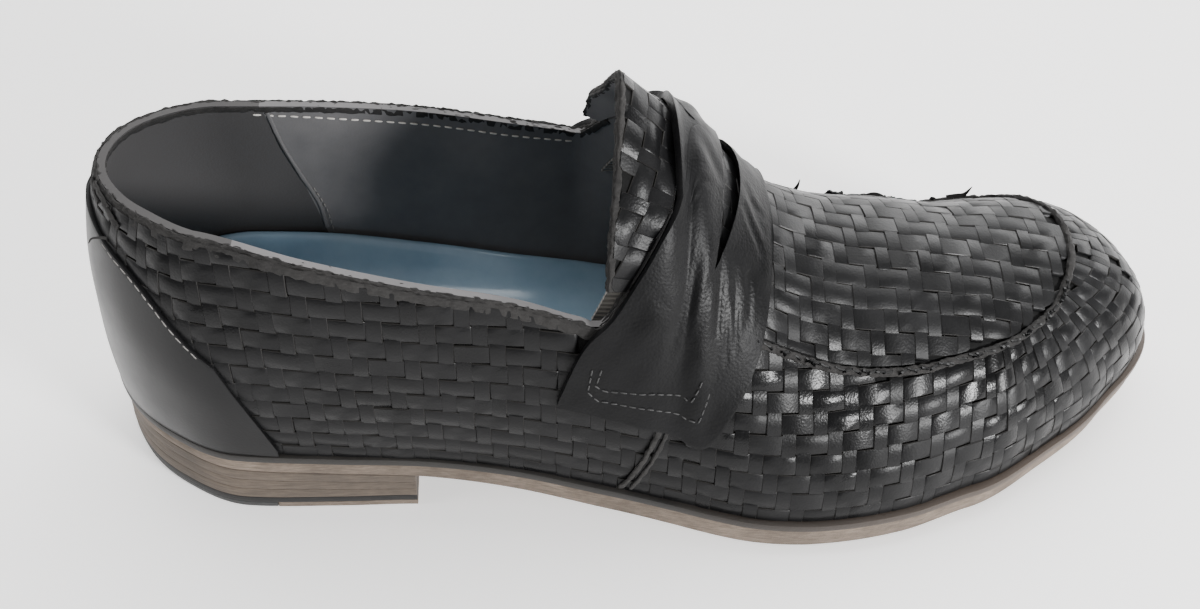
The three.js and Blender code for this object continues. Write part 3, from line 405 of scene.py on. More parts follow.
def maths(tree, operation, *values):
    wires = {f"i{i}": value for i, value in enumerate(values)}
    return put(tree, "ShaderNodeMath", {"operation": operation}, **wires).outputs[0]


def newGroup(name, kind, inputs, outputs):
    tree = bpy.data.node_groups.new(name, kind)
    for label, socketKind, value in inputs:
        socket = tree.interface.new_socket(name=label, in_out="INPUT", socket_type="NodeSocket" + socketKind)
        if value is not None:
            socket.default_value = value
    for label, socketKind in outputs:
        tree.interface.new_socket(name=label, in_out="OUTPUT", socket_type="NodeSocket" + socketKind)
    return tree, put(tree, "NodeGroupInput").outputs, put(tree, "NodeGroupOutput").inputs


# Materials
def buildGrainGroup():
    # pebbled leather grain with fine pores, and a broad patchy tone
    inputs = [("Vector", "Vector", None), ("Scale", "Float", 900.0)]
    tree, source, result = newGroup("leather grain", "ShaderNodeTree", inputs,
                                    [("Height", "Float"), ("Tone", "Float")])
    cells = put(tree, "ShaderNodeTexVoronoi", {"feature": "SMOOTH_F1"},
                Vector=source["Vector"], Scale=source["Scale"])
    fineScale = maths(tree, "MULTIPLY", source["Scale"], 0.45)
    fine = put(tree, "ShaderNodeTexNoise", Vector=source["Vector"], Scale=fineScale, Detail=5.0, Roughness=0.6)
    pebbles = maths(tree, "MULTIPLY", cells.outputs["Distance"], 0.7)
    tree.links.new(maths(tree, "ADD", pebbles, maths(tree, "MULTIPLY", fine.outputs[0], 0.6)), result["Height"])
    broad = put(tree, "ShaderNodeTexNoise", Vector=source["Vector"], Scale=38.0, Detail=4.0, Roughness=0.65)
    tree.links.new(broad.outputs[0], result["Tone"])
    return tree


def buildFibreGroup():
    # cut leather seen end on: long flat fibres and small pits
    inputs = [("Vector", "Vector", None), ("Along", "Float", 220.0), ("Across", "Float", 2400.0)]
    tree, source, result = newGroup("cut fibres", "ShaderNodeTree", inputs,
                                    [("Height", "Float"), ("Tone", "Float")])
    stretch = put(tree, "ShaderNodeCombineXYZ", X=source["Along"], Y=source["Along"], Z=source["Across"])
    flat = put(tree, "ShaderNodeVectorMath", {"operation": "MULTIPLY"},
               i0=source["Vector"], i1=stretch.outputs[0])
    lines = put(tree, "ShaderNodeTexNoise", Vector=flat.outputs[0], Scale=1.0, Detail=6.0, Roughness=0.7)
    pits = put(tree, "ShaderNodeTexNoise", Vector=source["Vector"], Scale=1500.0, Detail=3.0)
    pitted = maths(tree, "ADD", lines.outputs[0], maths(tree, "MULTIPLY", pits.outputs[0], 0.5))
    tree.links.new(pitted, result["Height"])
    tree.links.new(lines.outputs[0], result["Tone"])
    return tree


grainGroup = buildGrainGroup()
fibreGroup = buildFibreGroup()


def newMaterial(name, roughness, **sockets):
    material = bpy.data.materials.new(name)
    material.use_nodes = True
    tree = material.node_tree
    shader = tree.nodes["Principled BSDF"]
    shader.inputs["Roughness"].default_value = roughness
    for label, value in sockets.items():
        shader.inputs[label.replace("_", " ")].default_value = value
    where = put(tree, "ShaderNodeTexCoord").outputs["Object"]
    return material, tree, shader, where


def colour(rgb):
    return (*rgb, 1.0)


def blendColour(tree, factor, low, high):
    ramp = put(tree, "ShaderNodeMix", {"data_type": "RGBA"}, i0=factor)
    for socket, value in ((ramp.inputs[6], low), (ramp.inputs[7], high)):
        if isinstance(value, bpy.types.NodeSocket):
            tree.links.new(value, socket)
        else:
            socket.default_value = colour(value)
    return ramp.outputs[2]


def spread(tree, value, low, high):
    # the middle of a noise's range, stretched to a range of its own
    return put(tree, "ShaderNodeMapRange", Value=value, From_Min=0.3, From_Max=0.7,
               To_Min=low, To_Max=high).outputs[0]


def addBump(tree, shader, height, strength, depth):
    bump = put(tree, "ShaderNodeBump", Height=height, Strength=strength, Distance=depth * mm)
    tree.links.new(bump.outputs[0], shader.inputs["Normal"])


def leatherMaterial(name, look):
    material, tree, shader, where = newMaterial(name, look["rough"], Specular_IOR_Level=look.get("specular", 0.5))
    grain = put(tree, "ShaderNodeGroup", {"node_tree": grainGroup}, Vector=where, Scale=1 / (look["grain"] * mm))
    tint = blendColour(tree, spread(tree, grain.outputs["Tone"], 0, 1), look["dark"], look["light"])
    if "behind" in look:  # the heel lining is another leather, behind a slanting seam
        x0, z0, slope = look["seam"]
        spot = put(tree, "ShaderNodeSeparateXYZ", Vector=where).outputs
        drop = maths(tree, "MULTIPLY", maths(tree, "SUBTRACT", z0 * mm, spot[2]), slope)
        isBehind = maths(tree, "LESS_THAN", spot[0], maths(tree, "ADD", drop, x0 * mm))
        tint = blendColour(tree, isBehind, tint, look["behind"])
    if "toe" in look:  # the rand is burnished brown towards the toe
        along = put(tree, "ShaderNodeSeparateXYZ", Vector=where).outputs[0]
        nearToe = put(tree, "ShaderNodeMapRange", Value=along, From_Min=0.1, From_Max=0.2,
                      To_Min=0.0, To_Max=0.85)
        tint = blendColour(tree, nearToe.outputs[0], tint, look["toe"])
    if "rim" in look:  # raw cut edges of the strips are paler and dull
        rim = put(tree, "ShaderNodeAttribute", {"attribute_name": "rim"}).outputs["Fac"]
        tint = blendColour(tree, maths(tree, "MULTIPLY", rim, 0.75), tint, look["rim"])
    tree.links.new(tint, shader.inputs["Base Color"])
    rough = spread(tree, grain.outputs["Tone"], look["rough"] - look["vary"], look["rough"] + look["vary"])
    if "rim" in look:
        tone = put(tree, "ShaderNodeAttribute", {"attribute_name": "tone"}).outputs["Fac"]
        rough = maths(tree, "ADD", rough, maths(tree, "MULTIPLY", maths(tree, "SUBTRACT", tone, 0.5), 0.16))
    tree.links.new(rough, shader.inputs["Roughness"])
    addBump(tree, shader, grain.outputs["Height"], look["bump"], look["depth"])
    return material


def fibreMaterial(name, look):
    material, tree, shader, where = newMaterial(name, look["rough"], Specular_IOR_Level=0.3)
    fibres = put(tree, "ShaderNodeGroup", {"node_tree": fibreGroup}, Vector=where,
                 Along=look["along"], Across=look["across"])
    tint = blendColour(tree, spread(tree, fibres.outputs["Tone"], 0, 1), look["dark"], look["light"])
    stain = put(tree, "ShaderNodeTexNoise", Vector=where, Scale=28.0, Detail=5.0, Roughness=0.7).outputs[0]
    tint = blendColour(tree, spread(tree, stain, 0, look["stained"]), tint, look["stain"])
    tree.links.new(tint, shader.inputs["Base Color"])
    addBump(tree, shader, fibres.outputs["Height"], look["bump"], 0.25)
    return material


black = {"dark": (0.003, 0.003, 0.0032), "light": (0.007, 0.007, 0.0075)}
wovenLook = {**black, "rim": (0.035, 0.033, 0.031), "vary": 0.08, "grain": 0.55, "bump": 0.5, "depth": 0.12}
wovenLeather = leatherMaterial("woven leather", {**wovenLook, "rough": 0.34, "specular": 0.145})
apronLeather = leatherMaterial("apron leather", {**wovenLook, "rough": 0.43, "specular": 0.19})
backingLeather = leatherMaterial("weave backing", {
    "dark": (0.003, 0.003, 0.003), "light": (0.006, 0.006, 0.006),
    "rough": 0.8, "vary": 0.1, "specular": 0.15, "grain": 0.8, "bump": 0.6, "depth": 0.2})
strapLeather = leatherMaterial("strap leather", {
    **black, "rough": 0.42, "vary": 0.08, "specular": 0.1, "grain": 0.7, "bump": 0.55, "depth": 0.18})
counterLeather = leatherMaterial("counter leather", {
    **black, "rough": 0.34, "vary": 0.07, "specular": 0.15, "grain": 0.5, "bump": 0.25, "depth": 0.08})
liningLeather = leatherMaterial("lining leather", {
    "dark": (0.09, 0.088, 0.09), "light": (0.135, 0.13, 0.131),
    # the heel piece's colour, and its seam: x and z of one point, and the slope
    "behind": (0.046, 0.044, 0.044), "seam": (1.6, 80.0, 0.21),
    "rough": 0.66, "vary": 0.08, "specular": 0.3, "grain": 0.6, "bump": 0.35, "depth": 0.12})
insoleLeather = leatherMaterial("footbed leather", {
    "dark": (0.22, 0.35, 0.47), "light": (0.32, 0.46, 0.57),
    "rough": 0.2, "vary": 0.05, "specular": 0.75, "grain": 0.9, "bump": 0.25, "depth": 0.1})
weltLeather = leatherMaterial("welt leather", {
    "dark": (0.007, 0.0065, 0.006), "light": (0.018, 0.016, 0.014), "toe": (0.05, 0.034, 0.024),
    "rough": 0.5, "vary": 0.1, "specular": 0.4, "grain": 0.6, "bump": 0.5, "depth": 0.15})
soleLeather = fibreMaterial("sole edge leather", {
    "dark": (0.11, 0.083, 0.062), "light": (0.28, 0.225, 0.18), "stain": (0.05, 0.039, 0.031),
    "stained": 0.75, "rough": 0.78, "along": 260.0, "across": 1900.0, "bump": 0.7})
heelLeather = fibreMaterial("stacked heel leather", {
    "dark": (0.062, 0.048, 0.037), "light": (0.155, 0.122, 0.094), "stain": (0.04, 0.034, 0.03),
    "stained": 0.6, "rough": 0.7, "along": 180.0, "across": 2600.0, "bump": 0.6})
blackLift = fibreMaterial("black lift", {
    "dark": (0.008, 0.008, 0.008), "light": (0.02, 0.018, 0.017), "stain": (0.014, 0.014, 0.014),
    "stained": 0.4, "rough": 0.6, "along": 200.0, "across": 2200.0, "bump": 0.4})
rawLeather = fibreMaterial("raw black edge", {
    "dark": (0.004, 0.004, 0.004), "light": (0.02, 0.019, 0.0185), "stain": (0.045, 0.042, 0.04),
    "stained": 0.35, "rough": 0.85, "along": 700.0, "across": 1500.0, "bump": 0.8})


def plainMaterial(name, low, high, rough, scale, depth):
    material, tree, shader, where = newMaterial(name, rough)
    speck = put(tree, "ShaderNodeTexNoise", Vector=where, Scale=scale, Detail=5.0, Roughness=0.65).outputs[0]
    tree.links.new(blendColour(tree, spread(tree, speck, 0, 1), low, high), shader.inputs["Base Color"])
    addBump(tree, shader, speck, 0.5, depth)
    return material


heelRubber = plainMaterial("heel rubber", (0.014, 0.014, 0.014), (0.03, 0.03, 0.03), 0.62, 1400.0, 0.1)
paleThread = plainMaterial("pale thread", (0.42, 0.4, 0.37), (0.62, 0.6, 0.56), 0.7, 4000.0, 0.05)
darkThread = plainMaterial("dark thread", (0.012, 0.012, 0.012), (0.03, 0.03, 0.03), 0.6, 4000.0, 0.05)
greyThread = plainMaterial("grey thread", (0.12, 0.115, 0.11), (0.22, 0.21, 0.2), 0.7, 4000.0, 0.05)


def elasticMaterial():
    # ribbed webbing: fine ribs along its height
    material, tree, shader, where = newMaterial("elastic webbing", 0.85, Sheen_Weight=0.2)
    ribs = put(tree, "ShaderNodeTexWave", {"wave_type": "BANDS", "bands_direction": "Z"},
               Vector=where, Scale=260.0, Distortion=1.2, Detail=2.0).outputs[1]
    tree.links.new(blendColour(tree, ribs, (0.06, 0.056, 0.05), (0.15, 0.14, 0.125)), shader.inputs["Base Color"])
    addBump(tree, shader, ribs, 0.6, 0.3)
    return material


elastic = elasticMaterial()
print("materials built")


# Geometry Nodes
def finishTree(tree, geometry, material, result):
    smooth = put(tree, "GeometryNodeSetShadeSmooth", i0=geometry).outputs[0]
    painted = put(tree, "GeometryNodeSetMaterial", Geometry=smooth, Material=material).outputs[0]
    tree.links.new(painted, result[0])
    return tree


def vectorMath(tree, operation, *values, **wires):
    wires.update({f"i{i}": value for i, value in enumerate(values)})
    return put(tree, "ShaderNodeVectorMath", {"operation": operation}, **wires).outputs[0]


def namedValue(tree, name, kind):
    return put(tree, "GeometryNodeInputNamedAttribute", {"data_type": kind}, Name=name).outputs[0]


def buildWeaveTree():
    # floats of a two-over-one twill, laid flat and carried to the place that each chart point names
    inputs = [("Geometry", "Geometry", None), ("Weft Float", "Object", None), ("Warp Float", "Object", None),
              ("Columns", "Int", 60), ("Rows", "Int", 10), ("Column Pitch", "Float", 0.004),
              ("Row Pitch", "Float", 0.006), ("Shift", "Int", 1), ("Turn", "Float", 0.02),
              ("Tilt", "Float", 0.02), ("Seed", "Int", 1), ("Material", "Material", None)]
    tree, source, result = newGroup("woven floats", "GeometryNodeTree", inputs, [("Geometry", "Geometry")])
    dots = put(tree, "GeometryNodePoints", Count=maths(tree, "MULTIPLY", source["Columns"], source["Rows"]))
    number = put(tree, "GeometryNodeInputIndex").outputs[0]
    column = maths(tree, "FLOORED_MODULO", number, source["Columns"])
    row = maths(tree, "FLOOR", maths(tree, "DIVIDE", number, source["Columns"]))
    shifted = maths(tree, "ADD", column, maths(tree, "MULTIPLY", source["Shift"], row))
    twill = maths(tree, "FLOORED_MODULO", shifted, 3.0)
    isWarp = maths(tree, "LESS_THAN", twill, 0.5)
    isWeft = maths(tree, "COMPARE", twill, 1.0, 0.5)
    half = maths(tree, "ADD", maths(tree, "MULTIPLY", isWeft, 0.5), 0.5)
    x = maths(tree, "MULTIPLY", maths(tree, "ADD", column, half), source["Column Pitch"])
    y = maths(tree, "MULTIPLY", maths(tree, "ADD", row, 0.5), source["Row Pitch"])
    spot = put(tree, "ShaderNodeCombineXYZ", X=x, Y=y).outputs[0]
    laid = put(tree, "GeometryNodeSetPosition", i0=dots.outputs[0], Position=spot).outputs[0]
    near = put(tree, "GeometryNodeProximity", {"target_element": "FACES"}, i0=source["Geometry"])
    margin = maths(tree, "MULTIPLY", source["Row Pitch"], 0.08)
    onChart = maths(tree, "LESS_THAN", near.outputs["Distance"], margin)
    covered = put(tree, "GeometryNodeSampleNearestSurface", {"data_type": "FLOAT"}, Mesh=source["Geometry"],
                  Value=namedValue(tree, "hidden", "FLOAT")).outputs[0]
    keep = maths(tree, "MULTIPLY", onChart, maths(tree, "LESS_THAN", covered, 0.5))

    def dice(low, high, offset):
        seed = maths(tree, "ADD", source["Seed"], offset)
        return put(tree, "FunctionNodeRandomValue", {"data_type": "FLOAT"}, i2=low, i3=high, i8=seed).outputs[1]

    def sway(label, offset):
        return dice(maths(tree, "MULTIPLY", source[label], -1.0), source[label], offset)

    angles = put(tree, "ShaderNodeCombineXYZ", X=sway("Tilt", 11), Y=sway("Tilt", 17), Z=sway("Turn", 0))
    spin = put(tree, "FunctionNodeEulerToRotation", i0=angles.outputs[0]).outputs[0]
    size = put(tree, "ShaderNodeCombineXYZ", X=dice(0.97, 1.04, 5), Y=dice(0.93, 1.03, 7),
               Z=dice(0.85, 1.15, 9)).outputs[0]
    joined = put(tree, "GeometryNodeJoinGeometry")
    for pick, label in ((isWarp, "Warp Float"), (isWeft, "Weft Float")):
        shape = put(tree, "GeometryNodeObjectInfo", Object=source[label]).outputs["Geometry"]
        copies = put(tree, "GeometryNodeInstanceOnPoints", Points=laid, Selection=maths(tree, "MULTIPLY", pick, keep),
                     Instance=shape, Rotation=spin, Scale=size).outputs[0]
        toned = put(tree, "GeometryNodeStoreNamedAttribute", {"data_type": "FLOAT", "domain": "INSTANCE"},
                    Geometry=copies, Name="tone", Value=dice(0.0, 1.0, 23)).outputs[0]
        tree.links.new(toned, joined.inputs[0])
    solid = put(tree, "GeometryNodeRealizeInstances", Geometry=joined.outputs[0]).outputs[0]
    flat = put(tree, "ShaderNodeSeparateXYZ", Vector=put(tree, "GeometryNodeInputPosition").outputs[0])
    onFlat = put(tree, "ShaderNodeCombineXYZ", X=flat.outputs[0], Y=flat.outputs[1]).outputs[0]

    def carried(name):
        return put(tree, "GeometryNodeSampleNearestSurface", {"data_type": "FLOAT_VECTOR"},
                   Mesh=source["Geometry"], Value=namedValue(tree, name, "FLOAT_VECTOR"),
                   Sample_Position=onFlat).outputs[0]

    out = vectorMath(tree, "NORMALIZE", carried("facing"))
    lift = vectorMath(tree, "SCALE", out, Scale=flat.outputs[2])
    target = vectorMath(tree, "ADD", carried("spot"), lift)
    moved = put(tree, "GeometryNodeSetPosition", i0=solid, Position=target).outputs[0]
    return finishTree(tree, moved, source["Material"], result)


def buildStitchTree():
    # stitches spaced along a line of points
    inputs = [("Geometry", "Geometry", None), ("Stitch", "Object", None), ("Pitch", "Float", 0.003),
              ("Wobble", "Float", 0.08), ("Seed", "Int", 1), ("Material", "Material", None)]
    tree, source, result = newGroup("stitch run", "GeometryNodeTree", inputs, [("Geometry", "Geometry")])
    line = put(tree, "GeometryNodeMeshToCurve", i0=source["Geometry"]).outputs[0]
    dots = put(tree, "GeometryNodeCurveToPoints", {"mode": "LENGTH"}, Curve=line, Length=source["Pitch"])
    low = maths(tree, "MULTIPLY", source["Wobble"], -1.0)
    wobble = put(tree, "FunctionNodeRandomValue", {"data_type": "FLOAT"},
                 i2=low, i3=source["Wobble"], i8=source["Seed"])
    aim = put(tree, "FunctionNodeAlignRotationToVector", {"axis": "X"}, Vector=dots.outputs["Tangent"]).outputs[0]
    sway = put(tree, "ShaderNodeCombineXYZ", Z=wobble.outputs[1]).outputs[0]
    swayed = put(tree, "FunctionNodeRotateRotation", {"rotation_space": "LOCAL"}, i0=aim,
                 i1=put(tree, "FunctionNodeEulerToRotation", i0=sway).outputs[0]).outputs[0]
    shape = put(tree, "GeometryNodeObjectInfo", Object=source["Stitch"]).outputs["Geometry"]
    copies = put(tree, "GeometryNodeInstanceOnPoints", Points=dots.outputs[0], Instance=shape,
                 Rotation=swayed).outputs[0]
    solid = put(tree, "GeometryNodeRealizeInstances", Geometry=copies).outputs[0]
    return finishTree(tree, solid, source["Material"], result)


def buildEdgeTree():
    # a ragged band swept along a line, its flat side held to the wall
    inputs = [("Geometry", "Geometry", None), ("Width", "Float", 0.001), ("Height", "Float", 0.002),
              ("Step", "Float", 0.0008), ("Ragged", "Float", 0.0004), ("Fine", "Float", 900.0),
              ("Material", "Material", None)]
    tree, source, result = newGroup("ragged band", "GeometryNodeTree", inputs, [("Geometry", "Geometry")])
    line = put(tree, "GeometryNodeMeshToCurve", i0=source["Geometry"]).outputs[0]
    even = put(tree, "GeometryNodeResampleCurve", {"mode": "LENGTH"}, Curve=line, Length=source["Step"]).outputs[0]
    held = put(tree, "GeometryNodeSetCurveNormal", {"mode": "FREE"}, Curve=even,
               Normal=namedValue(tree, "facing", "FLOAT_VECTOR")).outputs[0]
    box = put(tree, "GeometryNodeCurvePrimitiveQuadrilateral", Width=source["Width"],
              Height=source["Height"]).outputs[0]
    profile = put(tree, "GeometryNodeFilletCurve", {"mode": "POLY"}, Curve=box, Count=2,
                  Radius=maths(tree, "MULTIPLY", source["Width"], 0.4)).outputs[0]
    swept = put(tree, "GeometryNodeCurveToMesh", Curve=held, Profile_Curve=profile, Fill_Caps=True).outputs[0]
    where = put(tree, "GeometryNodeInputPosition").outputs[0]
    rough = put(tree, "ShaderNodeTexNoise", Vector=where, Scale=source["Fine"], Detail=2.0).outputs["Color"]
    centred = vectorMath(tree, "SUBTRACT", rough, (0.5, 0.5, 0.5))
    push = vectorMath(tree, "SCALE", centred, Scale=maths(tree, "MULTIPLY", source["Ragged"], 2.0))
    torn = put(tree, "GeometryNodeSetPosition", i0=swept, Offset=push).outputs[0]
    return finishTree(tree, torn, source["Material"], result)


weaveTree = buildWeaveTree()
stitchTree = buildStitchTree()
edgeTree = buildEdgeTree()


def runTree(obj, tree, settings):
    modifier = obj.modifiers.new("shape", "NODES")
    modifier.node_group = tree
    for item in tree.interface.items_tree:
        if item.in_out == "INPUT" and item.name in settings:
            modifier[item.identifier] = settings[item.name]
    return bakeModifiers(obj)


def addAttribute(mesh, name, kind, values):
    key = "vector" if kind == "FLOAT_VECTOR" else "value"
    mesh.attributes.new(name, kind, "POINT").data.foreach_set(key, np.ravel(values))


def lineObject(name, points, facings=None):
    mesh = bpy.data.meshes.new(name)
    mesh.from_pydata(inFrame(points).tolist(), [(i, i + 1) for i in range(len(points) - 1)], [])
    if facings is not None:
        addAttribute(mesh, "facing", "FLOAT_VECTOR", facings)
    return place(bpy.data.objects.new(name, mesh))


# Upper: a dark backing wall with the lining on its inner side
backing = {"step": 2.4, "sink": 0.35, "rimIn": 0.2, "heelSteps": 26, "toeSteps": 64, "outRows": 30, "inRows": 22}


def buildUpper():
    s = ringOf(backing["step"], backing["heelSteps"], backing["toeSteps"])
    outUps = np.linspace(0, 1, backing["outRows"])
    inUps = np.linspace(0, 1, backing["inRows"])
    outer = skinAt(s, outUps, -backing["sink"] * np.sin(np.pi * np.clip(outUps * 8, 0, 0.5)))
    outer[:, -1] = wallAt(s, [1.0], backing["rimIn"])[:, 0]
    inner = wallAt(s, inUps, shoe["wall"])
    skin = newSkin()
    addGrid(skin, outer, wrap=True)
    addGrid(skin, inner, wrap=True, flip=True, finish=1)
    addGrid(skin, np.stack([inner[:, 0], outer[:, 0]], 1), wrap=True)
    addGrid(skin, np.stack([outer[:, -1], inner[:, -1]], 1), wrap=True, finish=1, skip=s["closed"])
    obj = skinObject("upper_wall", skin, [backingLeather, liningLeather])
    return finishPiece(obj, "woven_leather", "upper")


buildUpper()
print("upper wall built")

# The strap's lower and upper edges up the wall, and the counter's upper edge
strap = {
    "xs": [118.2, 123.0, 127.8, 135.0, 147.0, 156.6, 160.8, 167.7, 170.4, 171.9],
    "lowZ": [47.0, 45.8, 44.5, 42.6, 39.2, 36.0, 42.8, 56.9, 65.2, 72.1],
    "high": [0.57, 0.84, 1, 1, 1, 1, 1, 1, 1, 1],
    "near": 0.75, "thick": 2.0, "rows": 72, "columns": 80, "soft": 9, "archX": 145.6, "archRise": 0.0255,
    "crowd": 1.15, "bevel": 0.45, "slotX": 162.6, "slotHalf": 2.55, "slotReach": 29.64, "slotBend": 6.6,
    # creases: x, up to x, up, then depth and width
    "creases": [
        [150, 0.985, 157, 0.87, 0.35, 1.1], [148, 0.965, 153, 0.83, 0.3, 0.9], [146, 0.94, 150, 0.79, 0.28, 0.9],
        [164, 0.93, 169, 0.82, 0.3, 0.9], [163, 0.86, 168, 0.76, 0.28, 0.8], [166, 0.9, 170, 0.86, 0.25, 0.7],
        [152, 0.7, 150, 0.55, 0.32, 1.0], [156, 0.68, 156, 0.52, 0.34, 1.1], [160, 0.68, 161, 0.5, 0.3, 0.9],
        [164, 0.7, 164, 0.57, 0.26, 0.8], [147, 0.66, 144, 0.56, 0.2, 1.2], [153, 0.62, 152, 0.5, 0.2, 0.7],
        [158, 0.61, 159, 0.47, 0.22, 0.7], [141, 0.84, 144, 0.7, 0.18, 1.6], [162, 0.64, 163, 0.54, 0.2, 0.6],
    ],
}
strapHigh = curveThrough(strap["xs"], strap["high"])
strapLowZ = curveThrough(strap["xs"], strap["lowZ"])


def strapLow(s):
    return upAtZ(s, strapLowZ(s["x"]))


counter = {
    "turns": [-180, -150, -120, -90], "high": [0.87, 0.81, 0.73, 0.5],
    "xs": [36.0, 42.0, 46.8], "ends": [0.5, 0.28, 0.07], "near": 0.5, "thick": 1.1, "rows": 26,
    "aboveFoot": 2.7, "leastTall": 0.02, "bevel": 0.4,
}
counterTurn = curveThrough(counter["turns"], counter["high"])
counterEnd = curveThrough(counter["xs"], counter["ends"])


def counterHigh(s):
    behind = np.abs(s["turn"]) > 90 + 1e-6
    beside = np.where(s["x"] <= counter["xs"][-1], counterEnd(s["x"]), -1.0)
    return np.where(behind, counterTurn(-np.abs(s["turn"])), beside)


def segmentDips(x, y, dips, shoulder=0.35):
    # soft troughs with raised shoulders along short segments, in the plane of x and y
    height = np.zeros_like(x)
    for x0, y0, x1, y1, depth, width in dips:
        dx, dy = x1 - x0, y1 - y0
        t = np.clip(((x - x0) * dx + (y - y0) * dy) / (dx * dx + dy * dy), 0, 1)
        far = np.hypot(x - x0 - t * dx, y - y0 - t * dy) / width
        fade = 0.35 + 0.65 * np.sin(np.pi * np.clip(t, 0.06, 0.94))
        height += depth * fade * (shoulder * np.exp(-((far - 1.7) / 0.8) ** 2) - np.exp(-far * far))
    return height


def softened(grid, times):
    # evened out along the shoe
    for _ in range(times):
        grid[1:-1] = (grid[:-2] + 2 * grid[1:-1] + grid[2:]) / 4
    return grid


def wallPlate(skin, s, low, high, piece, relief, crowd=1.0, soft=0, joined=None):
    # a plate over the wall between two heights, closed all round or left open where both sides join
    share = 1 - (1 - np.linspace(0, 1, piece["rows"] + 1)) ** crowd
    ups = low[:, None] + (high - low)[:, None] * share[None, :]
    base = softened(wallAt(s, ups), soft)
    out = softened(facingAt(s, ups), soft)
    if joined is not None:  # both sides share the ridge's own direction there
        ridge = np.stack([-ridgeSlope(s["x"]), 0 * s["x"], 1 + 0 * s["x"]], -1)
        out[s["closed"], -1] = ridge[s["closed"]]
    out /= np.linalg.norm(out, axis=-1, keepdims=True)
    raised = piece["near"] + piece["thick"] + relief(s, ups)
    inside = base + out * piece["near"]
    outside = base + out * raised[..., None]
    addSlab(skin, outside, inside, skip=joined)
    return outside[:, -1], inside[:, -1]


def downFrom(points, s):
    # distance down from the ridge, even across the end of the throat
    return np.abs(points[..., 1] - s["mid"][:, None]) - points[..., 2]


def strapRelief(s, ups):
    down = downFrom(wallAt(s, ups), s)
    flatX = np.broadcast_to(s["x"][:, None], ups.shape)
    dips = []
    for x0, up0, x1, up1, depth, width in strap["creases"]:
        ends = placesAt(alongSide(np.array([x0, x1], float), outerSide))
        y0, y1 = downFrom(wallAt(ends, np.array([[up0], [up1]])), ends)[:, 0]
        dips.append([x0, y0, x1, y1, depth, width])
    broad = 0.1 * np.sin(flatX * 0.5 + down * 0.12) * np.sin(down * 0.24 + flatX * 0.1)
    return segmentDips(flatX, down, dips) + broad


def slotOutline():
    # a curved slot, pointed at both ends
    shares = np.linspace(-1, 1, 25)
    bend = strap["slotBend"] * shares**2
    half = strap["slotHalf"] * (1 - shares**2)
    y = shares * strap["slotReach"] + float(midAt(strap["slotX"]))
    front = np.stack([strap["slotX"] + half - bend, y], -1)
    back = np.stack([strap["slotX"] - half - bend, y], -1)[::-1][1:-1]
    return np.concatenate([front, back])


def archSheets(tops):
    # the saddle's rear edge arches over the tongue
    t = np.linspace(0, 1, 17)[:, None, None]
    sheets = []
    for outerTop, innerTop in zip(*tops):
        half = np.linalg.norm(outerTop - innerTop, axis=1) / 2
        sheet = outerTop * (1 - t) + innerTop * t
        sheet[..., 2] += strap["archRise"] * half**2 * 4 * (t * (1 - t))[..., 0]
        sheets.append(sheet)
    return sheets


def buildStrap():
    skin = newSkin()
    count = strap["columns"] // 2
    xs = np.concatenate([np.linspace(strap["xs"][0], closedX, count, endpoint=False),
                         np.linspace(closedX, strap["xs"][-1], count)])
    arched = xs >= strap["archX"]
    tops = []
    for side in (outerSide, innerSide):
        order = slice(None, None, -side)
        sideXs = xs[order]
        s = placesAt(alongSide(sideXs, side))
        s["x"] = sideXs
        s["closed"] = sideXs >= closedX - 1e-6
        lines = wallPlate(skin, s, strapLow(s), np.minimum(1, strapHigh(sideXs)), strap, strapRelief,
                          strap["crowd"], strap["soft"], arched[order])
        tops.append([line[order][arched] for line in lines])
    sheets = archSheets(tops)
    addGrid(skin, sheets[0], flip=True)
    addGrid(skin, sheets[1])
    addGrid(skin, np.stack([sheets[0][:, 0], sheets[1][:, 0]], 1))
    obj = skinObject("strap_saddle", skin, [strapLeather], weld=0.02)
    cutter = prismObject("slot_cutter", slotOutline(), 50.0, 130.0)
    cutWith(obj, cutter, "DIFFERENCE")
    bpy.data.objects.remove(cutter)
    bevelled(obj, strap["bevel"], 2, 48)
    return finishPiece(obj, "smooth_leather", "strap", sharp=55)


strapSaddle = buildStrap()
print("strap built:", len(strapSaddle.data.polygons), "faces")


def counterPlaces():
    # places round the heel from the counter's inner front end to its outer one
    front = counter["xs"][-1]
    xs = np.linspace(heelX, front, 12)
    return placesAt(np.concatenate([
        alongSide(xs[::-1], innerSide)[:-1], alongTurn(np.linspace(90, 180, 36)[:-1], False),
        alongTurn(np.linspace(-180, -90, 36), False), alongSide(xs, outerSide)[1:]]))


def counterRelief(s, ups):
    turn = np.broadcast_to(s["turn"][:, None], ups.shape)
    return 0.12 * np.sin(np.radians(turn * 5)) * np.sin(ups * 6) + 0.08 * np.sin(ups * 17 + turn * 0.05)


def buildCounter():
    skin = newSkin()
    s = counterPlaces()
    low = upAtZ(s, wallAt(s, [0.0])[:, 0, 2] + counter["aboveFoot"])
    wallPlate(skin, s, low, np.maximum(counterHigh(s), low + counter["leastTall"]), counter, counterRelief)
    obj = skinObject("heel_counter", skin, [counterLeather])
    bevelled(obj, counter["bevel"], 2, 50)
    return finishPiece(obj, "smooth_leather", "counter", sharp=55)


buildCounter()
print("counter built")

# Woven strips
weave = {
    "columnPitch": 4.15, "rowPitch": 5.75, "crown": 0.7, "turn": 0.02, "tilt": 0.022,
    # half length and half width of a float as shares of the pitches
    "weftLong": 1.22, "weftWide": 0.475, "warpLong": 0.74, "warpWide": 0.46,
    # a float's profile: places along it and how high it stands there, and the same across it
    "along": [-1, -0.9, -0.78, 0, 0.78, 0.9, 1], "dip": [-0.6, 0.55, 0.93, 1.0, 0.93, 0.55, -0.6],
    "across": [-1, -0.93, 0, 0.93, 1], "shoulder": [0.72, 0.96, 1.0, 0.96, 0.72], "thick": 0.75,
}


